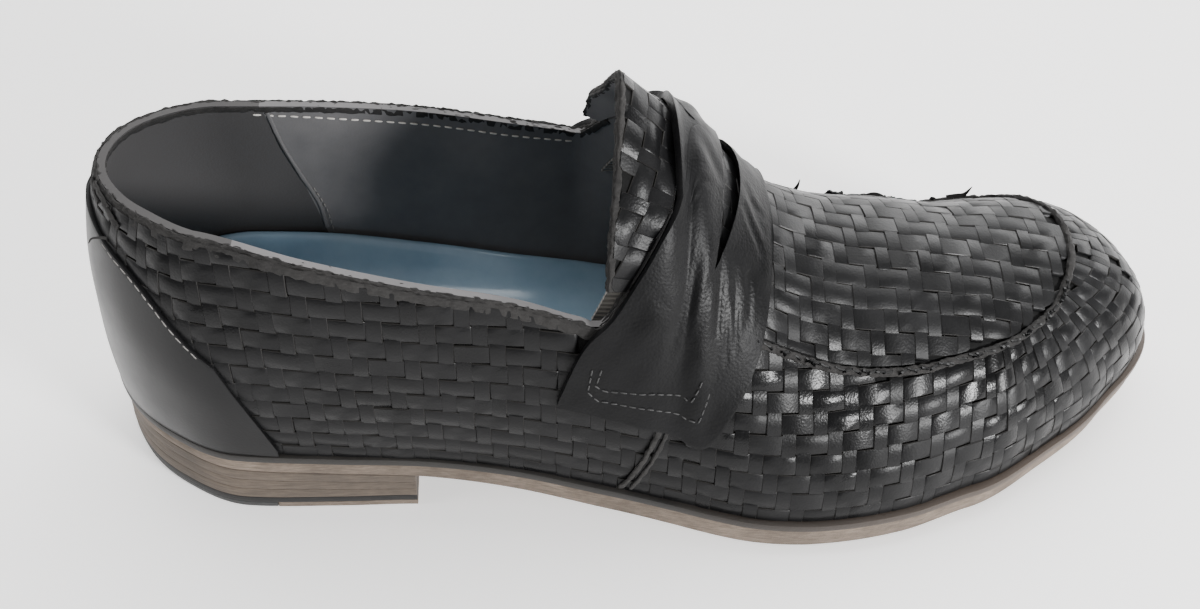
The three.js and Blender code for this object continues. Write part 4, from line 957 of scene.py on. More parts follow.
def floatObject(name, halfLong, halfWide, alongX):
    # one strip's visible stretch: nearly flat across, dipping under its neighbours at both ends
    points, rim = [], []
    for a, d in zip(weave["along"], weave["dip"]):
        for b, e in zip(weave["across"], weave["shoulder"]):
            points.append((a * halfLong, b * halfWide, weave["crown"] * (d - (1 - e) * 0.9)))
            rim.append(1.0 if abs(b) == 1 else 0.0)
    n, m = len(weave["along"]), len(weave["across"])
    faces = gridFaces(n, m)
    loop = [i * m for i in range(n)] + [(n - 1) * m + j for j in range(1, m)]
    loop += [i * m + m - 1 for i in range(n - 2, -1, -1)] + list(range(m - 2, 0, -1))
    first, count = len(points), len(loop)
    points += [(points[k][0], points[k][1], points[k][2] - weave["thick"] * weave["crown"]) for k in loop]
    rim += [0.7] * count
    faces += [[loop[i], first + i, first + (i + 1) % count, loop[(i + 1) % count]] for i in range(count)]
    faces.append([first + i for i in range(count)][::-1])
    if not alongX:
        points = [(-y, x, z) for x, y, z in points]
    mesh = bpy.data.meshes.new(name)
    mesh.from_pydata((np.array(points) * mm).tolist(), [], faces)
    addAttribute(mesh, "rim", "FLOAT", rim)
    turnOutward(mesh)
    return place(bpy.data.objects.new(name, mesh))


weftFloat = floatObject("weft_float", weave["weftLong"] * weave["columnPitch"],
                        weave["weftWide"] * weave["rowPitch"], True)
warpFloat = floatObject("warp_float", weave["warpLong"] * weave["rowPitch"],
                        weave["warpWide"] * weave["columnPitch"], False)


def chartObject(name, flat, spots, facings, hidden):
    # a flat sheet whose points know their place and direction on the shoe
    n, m = flat.shape[:2]
    mesh = bpy.data.meshes.new(name)
    sheet = np.dstack([flat, np.zeros((n, m))]).reshape(-1, 3)
    mesh.from_pydata((sheet * mm).tolist(), [], gridFaces(n, m))
    addAttribute(mesh, "spot", "FLOAT_VECTOR", inFrame(spots))
    addAttribute(mesh, "facing", "FLOAT_VECTOR", facings)
    addAttribute(mesh, "hidden", "FLOAT", hidden.astype(float))
    return place(bpy.data.objects.new(name, mesh))


def weavePiece(chart, columns, rows, shift, seed, leather=wovenLeather):
    runTree(chart, weaveTree, {
        "Weft Float": weftFloat, "Warp Float": warpFloat, "Columns": columns, "Rows": rows, "Shift": shift,
        "Column Pitch": weave["columnPitch"] * mm, "Row Pitch": weave["rowPitch"] * mm,
        "Turn": weave["turn"], "Tilt": weave["tilt"], "Seed": seed, "Material": leather})
    print(chart.name, len(chart.data.polygons), "faces")
    return finishPiece(chart, "woven_leather", sharp=38)


def arcUp(points):
    hop = np.linalg.norm(np.diff(points, axis=1), axis=-1)
    return np.concatenate([np.zeros((len(points), 1)), np.cumsum(hop, axis=1)], 1)


wallCover = {"step": 1.6, "foot": 1.2, "top": 0.975, "points": 46, "rows": 13, "strapRear": 124, "strapFront": 168}


def wallWeave(name, low, high, seed):
    # strips of the quarters and the toe wall: rows follow the sole, columns run up the wall
    along = np.linspace(low, high, round((high - low) / wallCover["step"]))
    s = placesAt(along)
    top = np.where(s["closed"], upAtReach(s, s["seamR"]), wallCover["top"])
    foot = upAtZ(s, wallAt(s, [0.0])[:, 0, 2] + wallCover["foot"])
    ups = foot[:, None] + (top - foot)[:, None] * np.linspace(0, 1, wallCover["points"])
    spots = wallAt(s, ups)
    flat = np.stack([np.broadcast_to((along - low)[:, None], ups.shape), arcUp(spots)], -1)
    # nothing is laid where the strap or the counter hides it
    beside = (np.abs(s["turn"]) < 91) & (s["x"] > wallCover["strapRear"]) & (s["x"] < wallCover["strapFront"])
    underStrap = (ups > strapLow(s)[:, None] + 0.1) & beside[:, None]
    underCounter = ups < counterHigh(s)[:, None] - 0.1
    chart = chartObject(name, flat, spots, facingAt(s, ups), underStrap | underCounter)
    weavePiece(chart, int((high - low) / weave["columnPitch"]) + 1, wallCover["rows"], 1, seed)


outerFront = float(alongTurn(0.0, True))
wallWeave("woven_outer_wall", 0.0, outerFront, 3)
wallWeave("woven_inner_wall", outerFront, girth, 5)


def lastTree():
    # the smooth wall as a search tree, for heights over a plan place
    s = ringOf(3.0, 16, 48)
    skin = newSkin()
    addGrid(skin, wallAt(s, np.linspace(0, 1, 60)), wrap=True)
    return BVHTree.FromPolygons([tuple(p) for p in np.concatenate(skin["points"])], skin["faces"])


smoothLast = lastTree()


def seamOutline():
    along = np.linspace(alongSide(closedX, outerSide), alongSide(closedX, innerSide), 500)
    s = placesAt(along)
    seam = upAtReach(s, s["seamR"])
    return s, seam, wallAt(s, seam[:, None])[:, 0]


apron = {
    "step": 1.6, "margin": 1.2, "tipMargin": 1.6, "rear": 6, "tipLong": 8, "points": 50, "chartMiddle": 60.0,
    "columns": 40, "rows": 20,
}


def dropOn(x, y):
    # the wall's point and outward direction under a plan place
    hit, normal, _, _ = smoothLast.ray_cast(Vector((x, y, 160.0)), Vector((0, 0, -1)))
    if not hit:
        return (x, y, 50.0), (0, 0, 1)
    return hit, normal if normal.z > 0 else -normal


def apronWeave():
    # strips of the apron run straight along the shoe and are cut at its seam
    _, _, line = seamOutline()
    tip = int(np.argmax(line[:, 0]))
    endX = line[tip, 0] - apron["tipMargin"]
    last = endX - apron["tipLong"]
    crowded = endX - apron["tipLong"] * (1 - np.sin(np.linspace(0, 1, 14) * np.pi / 2))
    xs = np.concatenate([np.arange(closedX + apron["rear"], last, apron["step"]), crowded])
    low = np.interp(xs, line[:tip + 1, 0], line[:tip + 1, 1]) + apron["margin"]
    high = np.interp(xs, line[tip:, 0][::-1], line[tip:, 1][::-1]) - apron["margin"]
    plan = low[:, None] + (high - low)[:, None] * np.linspace(0, 1, apron["points"])
    spots = np.zeros((*plan.shape, 3))
    facings = np.zeros_like(spots)
    for i, x in enumerate(xs):
        for j, y in enumerate(plan[i]):
            spots[i, j], facings[i, j] = dropOn(x, y)
    across = arcUp(spots)
    spine = [float(midAt(min(x, toeX))) for x in xs]
    middle = np.array([np.interp(y, plan[i], across[i]) for i, y in enumerate(spine)])
    ridgeZ = [np.interp(y, plan[i], spots[i, :, 2]) for i, y in enumerate(spine)]
    ridge = np.concatenate([[0], np.cumsum(np.hypot(np.diff(xs), np.diff(ridgeZ)))])
    flat = np.stack([np.broadcast_to(ridge[:, None], plan.shape),
                     across - middle[:, None] + apron["chartMiddle"]], -1)
    chart = chartObject("woven_apron", flat, spots, facings, np.zeros(plan.shape, bool))
    weavePiece(chart, apron["columns"], apron["rows"], -1, 11, apronLeather)


apronWeave()

# Tongue: its free edge from the outer side over the top to the inner side
tongue = {
    "free": [[130.8, -34.3, 78.5], [131.1, -30.8, 87.5], [132.3, -21.5, 97.6], [133.8, -10.4, 108.9],
             [134.7, 1.0, 114.0], [134.4, 10.9, 107.4], [132.6, 22.6, 95.0], [131.1, 31.9, 85.5], [130.2, 36.2, 76.5]],
    "rootX": 134.7, "thick": 2.2, "inset": 0.5, "rootGap": 0.7, "rows": 22, "columns": 70,
}


def runLengths(points):
    hop = np.linalg.norm(np.diff(points, axis=0), axis=1)
    return np.concatenate([[0], np.cumsum(hop)])


def tongueGrid():
    xs = np.linspace(tongue["rootX"], closedX, tongue["columns"] // 2)
    s = placesAt(np.concatenate([alongSide(xs, outerSide), alongSide(xs[::-1][1:], innerSide)]))
    s["closed"] = s["x"] >= closedX - 1e-3
    root = wallAt(s, [1.0])[:, 0]
    free = np.array(tongue["free"])
    freeRun, rootRun = runLengths(free), runLengths(root)
    even = rootRun / rootRun[-1]
    tip = np.stack([curveThrough(freeRun / freeRun[-1], free[:, axis])(even) for axis in range(3)], -1)
    gap = tongue["rootGap"] / np.linalg.norm(tip - root, axis=1)
    share = gap[:, None] + (1 - gap[:, None]) * np.linspace(0, 1, tongue["rows"])
    grid = root[:, None] + (tip - root)[:, None] * share[..., None]
    out = np.cross(np.gradient(grid, axis=0), np.gradient(grid, axis=1))
    return grid, out / np.linalg.norm(out, axis=-1, keepdims=True)


def buildTongue():
    grid, out = tongueGrid()
    skin = newSkin()
    outside = grid - out * tongue["inset"]
    addSlab(skin, outside, grid - out * (0.1 + tongue["thick"]), finish=1)
    obj = skinObject("tongue_core", skin, [backingLeather, liningLeather])
    finishPiece(obj, "woven_leather", "tongue")
    u = runLengths(grid[:, -1])
    flat = np.stack([np.broadcast_to(u[:, None], grid.shape[:2]), arcUp(grid)], -1)
    weavePiece(chartObject("woven_tongue", flat, outside, out, np.zeros(grid.shape[:2], bool)), 34, 6, 1, 21)
    return grid, out


tongueSpots, tongueOut = buildTongue()


# Raw edges, seam and stitches. The collar's layers each have: distance out from the wall, lift, width,
# height, raggedness, fineness. The tongue's have: distance back, width, height.
rim = {
    "endX": 136.0, "up": 0.995, "step": 1.2,
    "bands": [[0.75, -1.7, 0.7, 2.8, 0.85, 520.0], [-0.2, -0.7, 0.6, 2.2, 0.8, 640.0],
              [-1.1, -0.9, 0.6, 2.4, 0.75, 560.0], [-1.9, -0.6, 0.5, 2.0, 0.6, 700.0],
              [0.2, -0.2, 0.5, 1.2, 0.9, 900.0]],
    "tongueBands": [[0.0, 1.1, 1.8], [0.9, 0.7, 1.4], [-0.7, 0.7, 1.5]], "tongueBack": 1.1,
}


def rimLine(offset, lift):
    # the top edge from the strap round the heel and back to the strap
    span = girth - alongSide(rim["endX"], innerSide)
    along = np.arange(-span, alongSide(rim["endX"], outerSide), rim["step"])
    s = placesAt(along)
    ups = np.full((len(along), 1), rim["up"])
    points = (wallAt(s, ups) + facingAt(s, ups) * offset)[:, 0]
    points[:, 2] += lift
    return points, facingAt(s, ups)[:, 0]


def raggedBand(name, points, facings, width, height, ragged, fine=700.0, material=rawLeather, sharp=50, step=0.9):
    line = lineObject(name, points, facings)
    runTree(line, edgeTree, {"Width": width * mm, "Height": height * mm, "Step": step * mm,
                             "Ragged": ragged * mm, "Fine": fine, "Material": material})
    return finishPiece(line, "woven_leather", sharp=sharp)


for number, (offset, lift, width, height, torn, fine) in enumerate(rim["bands"]):
    points, facings = rimLine(offset, lift)
    raggedBand(f"rim_layer_{number + 1}", points, facings, width, height, torn, fine)
tongueEdge = tongueSpots[:, -1] - tongueOut[:, -1] * rim["tongueBack"]
for number, (back, width, height) in enumerate(rim["tongueBands"]):
    raggedBand(f"tongue_rim_{number + 1}", tongueEdge - tongueOut[:, -1] * back, tongueOut[:, -1], width, height,
               0.85, 600.0)

apronSeam = {
    "wide": 2.3, "tall": 1.9, "lift": 0.55, "ragged": 0.8, "rearX": 166,
    # torn strip ends along the seam: spacing, length along it, height
    "ends": [[4.3, 3.3, 1.5], [9.1, 3.0, 1.9], [15.7, 2.2, 2.4]], "endsWobble": 0.6, "smoothTurns": [-20, 50],
    "endOutline": [(-0.5, 0.0), (0.5, 0.0), (0.47, 0.8), (0.2, 1.0), (-0.1, 0.82), (-0.46, 0.94)],
}


def stripEnd(name, long, tall):
    # a cut strip's end standing out of the seam
    outline = apronSeam["endOutline"]
    points = [(x * long, side - 0.5 * z * tall, z * tall - 0.5) for side in (-0.3, 0.3) for x, z in outline]
    n = len(outline)
    faces = [list(range(n)), list(range(n, 2 * n))[::-1]]
    faces += [[i, i + n, (i + 1) % n + n, (i + 1) % n] for i in range(n)]
    mesh = bpy.data.meshes.new(name)
    mesh.from_pydata((np.array(points) * mm).tolist(), [], faces)
    turnOutward(mesh)
    return place(bpy.data.objects.new(name, mesh))


def alongLine(name, points, shape, pitch, wobble, seed, material, slot, sharp):
    # copies of a small shape spaced along a line, after which the shape itself goes
    line = lineObject(name, points)
    runTree(line, stitchTree, {"Stitch": shape, "Pitch": pitch * mm, "Wobble": wobble, "Seed": seed,
                               "Material": material})
    bpy.data.objects.remove(shape)
    return finishPiece(line, slot, sharp=sharp)


def buildApronSeam():
    s, seam, line = seamOutline()
    show = (s["x"] > apronSeam["rearX"]) | (np.abs(s["turn"]) < 90)
    facings = facingAt(s, seam[:, None])[:, 0]
    points = line + facings * apronSeam["lift"]
    beside = np.cross(facings, np.gradient(line, axis=0))
    raggedBand("apron_seam", points[show], beside[show], apronSeam["wide"], apronSeam["tall"],
               apronSeam["ragged"], 620.0, sharp=35, step=0.7)
    calmLow, calmHigh = apronSeam["smoothTurns"]
    torn = show & ((np.abs(s["turn"]) > calmHigh) | (s["turn"] < calmLow))
    for number, (pitch, long, tall) in enumerate(apronSeam["ends"]):
        alongLine(f"torn_ends_{number + 1}", points[torn] + [0, 0, 0.2], stripEnd("strip_end", long, tall),
                  pitch, apronSeam["endsWobble"], 31 + number, wovenLeather, "woven_leather", 30)


buildApronSeam()


def stitchObject(name, long, thick):
    mesh = bpy.data.meshes.new(name)
    bm = bmesh.new()
    bmesh.ops.create_uvsphere(bm, u_segments=8, v_segments=6, radius=1.0)
    bmesh.ops.transform(bm, matrix=Matrix.Rotation(math.pi / 2, 4, "Y"), verts=bm.verts)
    for vert in bm.verts:
        vert.co.x = math.copysign(abs(vert.co.x) ** 0.5, vert.co.x) * long / 2 * mm
        vert.co.y *= thick / 2 * mm
        vert.co.z *= thick / 2 * mm
    bm.to_mesh(mesh)
    bm.free()
    return place(bpy.data.objects.new(name, mesh))


def stitchRun(name, points, look, slot="woven_leather"):
    stitch = stitchObject("one_stitch", look["long"], look["thick"])
    return alongLine(name, points, stitch, look["pitch"], 0.1, look["seed"], look["thread"], slot, 0)


def wallLine(knots, side, offset, count=80, inner=False, smooth=True):
    # a line through given x and up pairs on one side's wall
    knots = np.array(knots, float)
    wall = shoe["wall"] if inner else 0.0
    heights = wallAt(placesAt(alongSide(knots[:, 0], side)), knots[:, 1:], wall)[:, 0, 2]
    pairs = np.stack([knots[:, 0], heights], -1)
    t = runLengths(pairs)
    even = np.linspace(0, t[-1], count)
    xs, zs = [curveThrough(t, v)(even) if smooth else np.interp(even, t, v) for v in pairs.T]
    s = placesAt(alongSide(xs, side))
    s["x"] = xs
    ups = upAtZ(s, zs, wall)[:, None]
    return wallAt(s, ups, wall)[:, 0] + facingAt(s, ups, wall)[:, 0] * (-offset if inner else offset)


bothSides = ((outerSide, "outer"), (innerSide, "inner"))

# White stitches inside the collar
collarStitch = {"knots": [[44, 0.955], [70, 0.94], [95, 0.93], [125, 0.93]],
                "long": 2.1, "thick": 0.55, "pitch": 3.1, "seed": 4, "thread": paleThread}
for side, label in bothSides:
    stitchRun(f"collar_stitches_{label}", wallLine(collarStitch["knots"], side, 0.08, inner=True), collarStitch)

# Lining's heel piece: a lapped edge with light stitches low down
liningSeam = {"knots": [[46.6, 0.97], [48.5, 0.77], [51.1, 0.62], [54.9, 0.42], [55.7, 0.28]],
              "stitches": [[54.2, 0.52], [56.4, 0.4], [57.3, 0.28]],
              "long": 1.6, "thick": 0.45, "pitch": 2.2, "seed": 6, "thread": greyThread}
for side, label in bothSides:
    points = wallLine(liningSeam["knots"], side, 0.15, inner=True)
    facings = np.tile([0.0, float(-side), 0.0], (len(points), 1))
    raggedBand(f"lining_seam_{label}", points, facings, 0.7, 1.1, 0.12, material=liningLeather)
    low = wallLine(liningSeam["stitches"], side, 0.2, inner=True, count=40)
    stitchRun(f"lining_stitches_{label}", low, liningSeam)

# Strap stitching: a double row round its lower end
strapStitch = {"rows": [[[126.5, 0.8], [125.7, 0.69], [128.2, 0.65], [140.5, 0.455], [152.9, 0.315], [154.4, 0.38]],
                        [[128.6, 0.8], [127.6, 0.73], [130, 0.69], [141.5, 0.495], [151.6, 0.36], [152.6, 0.4]]],
               "long": 1.7, "thick": 0.45, "pitch": 2.2, "seed": 8, "thread": darkThread}
for side, label in bothSides:
    for number, knots in enumerate(strapStitch["rows"]):
        points = wallLine(knots, side, strap["near"] + strap["thick"] + 0.02, smooth=False)
        stitchRun(f"strap_stitches_{label}_{number + 1}", points, {**strapStitch, "seed": 8 + number},
                  "smooth_leather")

# Counter stitching along its slanting edge
counterStitch = {"turns": [146, 97], "inset": 0.012, "offset": 1.55,
                 "long": 2.0, "thick": 0.36, "pitch": 2.4, "seed": 12, "thread": greyThread}
for side, label in bothSides:
    s = placesAt(alongTurn(np.linspace(*counterStitch["turns"], 60) * side, False))
    ups = (counterHigh(s) - counterStitch["inset"])[:, None]
    points = (wallAt(s, ups) + facingAt(s, ups) * counterStitch["offset"])[:, 0]
    stitchRun(f"counter_stitches_{label}", points, counterStitch, "smooth_leather")

# Torn layers at the back of the collar: turn and up of both ends
tornLayers = [[-172, 0.97, -158, 0.925], [-166, 0.985, -148, 0.95], [-152, 0.955, -138, 0.91], [150, 0.97, 166, 0.94]]
for number, (turn0, up0, turn1, up1) in enumerate(tornLayers):
    s = placesAt(alongTurn(np.linspace(turn0, turn1, 24), False))
    ups = np.linspace(up0, up1, 24)[:, None]
    facings = facingAt(s, ups)[:, 0]
    raggedBand(f"torn_layer_{number + 1}", wallAt(s, ups)[:, 0] + facings * 0.9, facings, 0.5, 1.6, 0.5, 800.0)


def unit(vectors):
    return vectors / np.linalg.norm(vectors, axis=1, keepdims=True)


strand = {"points": 14, "flat": 0.22, "tip": 0.06, "width": 1 / 3, "across": [0.0, -0.7, 0.7]}


def shred(name, path, wide):
    # a torn strip of leather that tapers to its tip
    path = np.array(path, float)
    even = np.linspace(0, len(path) - 1, strand["points"])
    line = np.stack([curveThrough(range(len(path)), path[:, axis])(even) for axis in range(3)], -1)
    run = np.gradient(line, axis=0)
    across = unit(np.cross(run, strand["across"]))
    thick = unit(np.cross(run, across))
    taper = 1 - np.linspace(0, 1, strand["points"]) ** 1.5
    half = (wide * strand["width"] * taper + strand["tip"])[:, None]
    corners = ((-1, -1), (1, -1), (1, 1), (-1, 1))
    loops = [line + across * half * a + thick * strand["flat"] * b for a, b in corners]
    skin = newSkin()
    addGrid(skin, np.stack(loops), wrap=True)
    for end in (0, -1):
        low, right, top, left = [loop[end] for loop in loops]
        addGrid(skin, np.array([[low, left], [right, top]]), flip=end == 0)
    return finishPiece(skinObject(name, skin, [rawLeather]), "woven_leather", sharp=50)


shred("heel_strand", [[14.5, -17.5, 83.5], [13.3, -18.1, 84.3], [11.7, -18.6, 84.5], [10.9, -19.0, 83.5]], 0.9)
# Loose ends on the far seam: how far along it, steps from there, width
farShreds = {
    "rear": [186, [[0, 0, 0.4], [2.0, 0.4, 0.6], [4.0, 0.6, 0.5], [5.4, 1.2, 2.2], [6.0, 1.6, 4.6]], 3.2],
    "rear_low": [183, [[0, -0.6, 0.6], [2.2, 0.2, 1.2], [4.2, 0.8, 0.6], [6.0, 1.0, 0.2]], 2.6],
    "rear_high": [178, [[0, -1.0, 0.8], [2.4, -0.2, 1.8], [4.4, 0.2, 1.2], [6.8, 0.2, 0.6]], 2.8],
    "middle": [212, [[0, 0, 0.3], [2.2, 0.2, 1.3], [4.4, 0.2, 1.2], [6.6, 0.0, 0.2]], 3.0],
    "middle_low": [206, [[0, 0, 0.3], [1.8, 0.2, 1.0], [3.6, 0.2, 1.4]], 2.2],
}
frontShred = {"turn": 64.0, "steps": [[-6.5, 0.5, 0.4], [-3.5, 0.8, 0.9], [-1.2, 1.0, 1.6], [0.6, 1.4, 4.2]], "wide": 3.2}


def seamPoint(along):
    s = placesAt([along])
    return wallAt(s, upAtReach(s, s["seamR"])[:, None])[0, 0]


for label, (x, steps, wide) in farShreds.items():
    shred(f"shred_{label}", seamPoint(alongSide(float(x), innerSide)) + np.array(steps), wide)
shred("shred_front", seamPoint(alongTurn(frontShred["turn"], True)) + np.array(frontShred["steps"]),
      frontShred["wide"])

# The join of quarter and toe wall below the strap: a rough upright ridge and its lap, each with
# x and up down the wall, offset, width, height, raggedness
sideJoin = {
    "side_join": [[[146, 0.42], [142.7, 0.295], [139.7, 0.2], [135.3, 0.06]], 1.1, 0.9, 1.5, 0.7],
    "side_join_lap": [[[149, 0.42], [145.4, 0.295], [142.2, 0.2], [137.8, 0.06]], 1.0, 0.7, 1.1, 0.5],
}
for side, label in bothSides:
    for name, (knots, offset, width, height, torn) in sideJoin.items():
        points = wallLine(knots, side, offset, count=40)
        facings = np.tile([0.0, float(side), 0.0], (len(points), 1))
        raggedBand(f"{name}_{label}", points, facings, width, height, torn, 600.0)
print("edges and stitches built")

# Elastic strips between the collar and the tongue, by their corners
gores = {
    "outer": [[126.6, -32.2, 66.5], [131.4, -32.9, 66.5], [136.2, -29.3, 78.5], [132.0, -29.1, 79.0]],
    "inner": [[134.4, 34.6, 56.0], [138.0, 34.6, 56.0], [140.5, 31.4, 66.0], [138.6, 31.8, 64.0]],
    "thick": 0.9, "bulge": 0.5,
}
for side, label in bothSides:
    a, b, c, d = [np.array(corner, float) for corner in gores[label]]
    across = np.linspace(0, 1, 7)[:, None, None]
    up = np.linspace(0, 1, 17)[None, :, None]
    sheet = a * (1 - across) * (1 - up) + b * across * (1 - up) + c * across * up + d * (1 - across) * up
    sheet[..., 1] += side * gores["bulge"] * np.sin(np.pi * up[..., 0])
    inward = sheet - [0, side * gores["thick"], 0]
    skin = newSkin()
    addSlab(skin, *((sheet, inward) if side == outerSide else (inward, sheet)))
    finishPiece(skinObject(f"gore_webbing_{label}", skin, [elastic]), "elastic", f"gore_{label}", sharp=50)


# Sole, welt and heel
def edgeRow(s, inset, x, z):
    reach = s["reach"] - inset
    return np.stack([s["x"] + reach * s["cos"], s["mid"] + reach * s["sin"], z + 0 * x], -1)


def edgeRows(s, level, rows):
    # points at each inset from the outline's edge, lifted off a level
    lines = []
    for inset, lift in rows:
        x = s["x"] + (s["reach"] - inset) * s["cos"]
        lines.append(edgeRow(s, inset, x, level(x) + lift))
    return np.stack(lines, 1)


def spineRow(s, level):
    return np.stack([s["x"], s["mid"], level(s["x"])], -1)[:, None]


# rows of inset and lift: over the top and its edge, then up from below and round the stitch groove
outsole = {
    "step": 1.8, "heelSteps": 40, "toeSteps": 90,
    "top": [(30, 0), (14, 0), (6, 0), (1.0, 0), (0.25, -0.35), (0.0, -1.2)],
    # share of the height and hollow of the side
    "side": [(0.75, 0.15), (0.5, 0.0), (0.25, 0.1)],
    "bottom": [(0.1, 0.9), (0.45, 0.25), (1.2, 0), (5.6, 0), (5.9, 0.45), (6.4, 0.45), (6.7, 0), (18, 0)],
}


def soleRing():
    return ringOf(outsole["step"], outsole["heelSteps"], outsole["toeSteps"])


def buildOutsole():
    s = soleRing()
    x = s["x"] + s["reach"] * s["cos"]
    side = [edgeRow(s, hollow, x, underZ(x) + (soleTopZ(x) - underZ(x)) * share) for share, hollow in outsole["side"]]
    rows = np.concatenate([
        spineRow(s, soleTopZ), edgeRows(s, soleTopZ, outsole["top"]), np.stack(side, 1),
        edgeRows(s, underZ, outsole["bottom"]), spineRow(s, underZ)], 1)
    skin = newSkin()
    addGrid(skin, rows, wrap=True, flip=True)
    return finishPiece(skinObject("sole_leather", skin, [soleLeather]), "sole_leather", "outsole", sharp=35)


buildOutsole()

welt = {"rows": [(0.2, 0.05), (-0.35, 0.5), (-0.35, 1.7), (-0.05, 2.35), (0.6, 2.65)], "onWall": [2.6, 0.25], "sink": 0.1}


def buildWelt():
    s = soleRing()
    foot = wallAt(s, [0.0])[:, 0]

    def onWall(lift):
        p = wallAt(s, upAtZ(s, foot[:, 2] + lift)[:, None])[:, 0]
        reach = (p[:, 0] - s["x"]) * s["cos"] + (p[:, 1] - s["mid"]) * s["sin"] + welt["sink"]
        x = s["x"] + reach * s["cos"]
        return np.stack([x, s["mid"] + reach * s["sin"], soleTopZ(x) + lift], -1)[:, None]

    rows = np.concatenate([edgeRows(s, soleTopZ, welt["rows"]), *[onWall(lift) for lift in welt["onWall"]]], 1)
    skin = newSkin()
    addGrid(skin, np.concatenate([rows, rows[:, :1]], 1), wrap=True)
    return finishPiece(skinObject("welt_rand", skin, [weltLeather]), "welt_leather", "welt", sharp=35)


buildWelt()
toeStitch = {"rearX": 205.0, "inset": 0.12, "long": 1.8, "thick": 0.36, "pitch": 2.9, "seed": 15, "thread": greyThread}
toeStitchEnds = [alongSide(toeStitch["rearX"], side) for side in (outerSide, innerSide)]
stitchRun("welt_stitches", edgeRows(placesAt(np.linspace(*toeStitchEnds, 260)), soleTopZ, [(toeStitch["inset"], 0)])[:, 0],
          toeStitch, "welt_leather")

heel = {
    "topPiece": 2.3, "blackLift": 2.3, "leatherLifts": 3, "underSole": 0.05, "stagger": 0.1,
    "hollow": 0.12, "bevel": 0.18, "rubberX": 31.5, "rubberArc": 64.48, "rubberGap": 0.15, "arcPoints": 96,
}


def heelPlaces():
    xs = np.linspace(heelX, shoe["breastX"], 22)
    return placesAt(np.concatenate([
        alongSide(xs, innerSide)[::-1][:-1], alongTurn(np.linspace(90, 180, 40)[:-1], False),
        alongTurn(np.linspace(-180, -90, 40), False), alongSide(xs, outerSide)[1:]]))


def between(high, low, share):
    # a level part of the way down from one level to another
    return lambda x: high(x) + (low(x) - high(x)) * share


def flatAt(z):
    return lambda x: z + 0 * x


def heelLayer(name, node, slot, material, insets, top, bottom, rows=4, cutter=None, operation="INTERSECT"):
    s = heelPlaces()
    lines = [spineRow(s, top)]
    for share in np.linspace(0, 1, rows + 1):
        inset = insets[0] + (insets[1] - insets[0]) * share - heel["hollow"] * math.sin(math.pi * share)
        lines.append(edgeRows(s, between(top, bottom, share), [(inset, 0)]))
    grid = np.concatenate([*lines, spineRow(s, bottom)], 1)
    skin = newSkin()
    addGrid(skin, grid, flip=True)
    breast = np.concatenate([grid[0], grid[-1][::-1][1:-1]])
    first = skin["count"]
    skin["points"].append(breast)
    skin["count"] += len(breast)
    addFace(skin, [first + i for i in range(len(breast))])
    obj = skinObject(name, skin, [material])
    turnOutward(obj.data)
    if cutter is not None:
        cutWith(obj, cutter, operation)
    bevelled(obj, heel["bevel"], 1, 50)
    return finishPiece(obj, slot, node, sharp=35)


def buildTopPiece(name, node, slot, material, radius, operation):
    # the leather front and the rubber rear of the top piece meet on an arc
    angles = np.linspace(0, 2 * math.pi, heel["arcPoints"], endpoint=False)
    middle = heel["rubberX"] + heel["rubberArc"]
    ring = np.stack([middle + radius * np.cos(angles), radius * np.sin(angles)], -1)
    cutter = prismObject("arc_cutter", ring, -5.0, 9.0)
    heelLayer(name, node, slot, material, [-0.4, -0.15], flatAt(heel["topPiece"]), flatAt(0.0), 3, cutter, operation)
    bpy.data.objects.remove(cutter)


def buildHeel():
    stackBottom = heel["topPiece"] + heel["blackLift"]

    def level(share):
        return lambda x: stackBottom + (underZ(x) - heel["underSole"] - stackBottom) * share

    lifts = heel["leatherLifts"]
    for i in range(lifts):
        high, low = 1 - i / lifts, 1 - (i + 1) / lifts
        insets = [-0.4 + 0.8 * high + heel["stagger"] * (i % 2), -0.4 + 0.8 * low]
        heelLayer(f"stacked_lift_{i + 1}", f"heel_lift_{i + 1}", "heel_leather", heelLeather, insets,
                  level(high), level(low))
    heelLayer("stacked_black_lift", "heel_lift_black", "black_lift", blackLift, [-0.35, -0.4],
              flatAt(stackBottom), flatAt(heel["topPiece"]))
    buildTopPiece("top_piece_front", "top_piece_leather", "sole_leather", soleLeather, heel["rubberArc"], "INTERSECT")
    buildTopPiece("top_piece_rear", "top_piece_rubber", "heel_rubber", heelRubber,
                  heel["rubberArc"] + heel["rubberGap"], "DIFFERENCE")


buildHeel()
print("sole and heel built")

# Insole: the blue footbed with its cupped rim and small creases
footbed = {
    "step": 2.4, "heelSteps": 26, "toeSteps": 60, "clear": 0.8,
    # the rim's rise and the pad's thickness along the shoe
    "cupXs": [0, 54, 90, 150, 210, 300], "cup": [11.0, 11.0, 9.0, 3.3, 1.1, 0.9],
    "padXs": [0, 54, 120, 180, 300], "pad": [7.0, 7.0, 4.55, 3.5, 3.15],
    # from the rim inwards: inset and share of the rise
    "profile": [(0, 0.9), (0.5, 0.97), (1.2, 1.0), (2.2, 0.95), (3.4, 0.8), (5, 0.52), (7, 0.26), (9, 0.12),
                (12, 0.04), (16, 0), (22, 0)],
    # creases: x, y, up to x, y, then depth and width
    "creases": [[52, -12, 56, -22, 0.35, 1.2], [57, -10, 60, -21, 0.3, 1.1], [62, -13, 64, -22, 0.28, 1.0],
                [50, 14, 57, 24, 0.3, 1.3], [60, 16, 66, 25, 0.25, 1.2], [88, -6, 92, 14, 0.2, 3.0],
                [104, -10, 106, 12, 0.18, 3.0]],
}
cupAt = curveThrough(footbed["cupXs"], footbed["cup"])
padAt = curveThrough(footbed["padXs"], footbed["pad"])


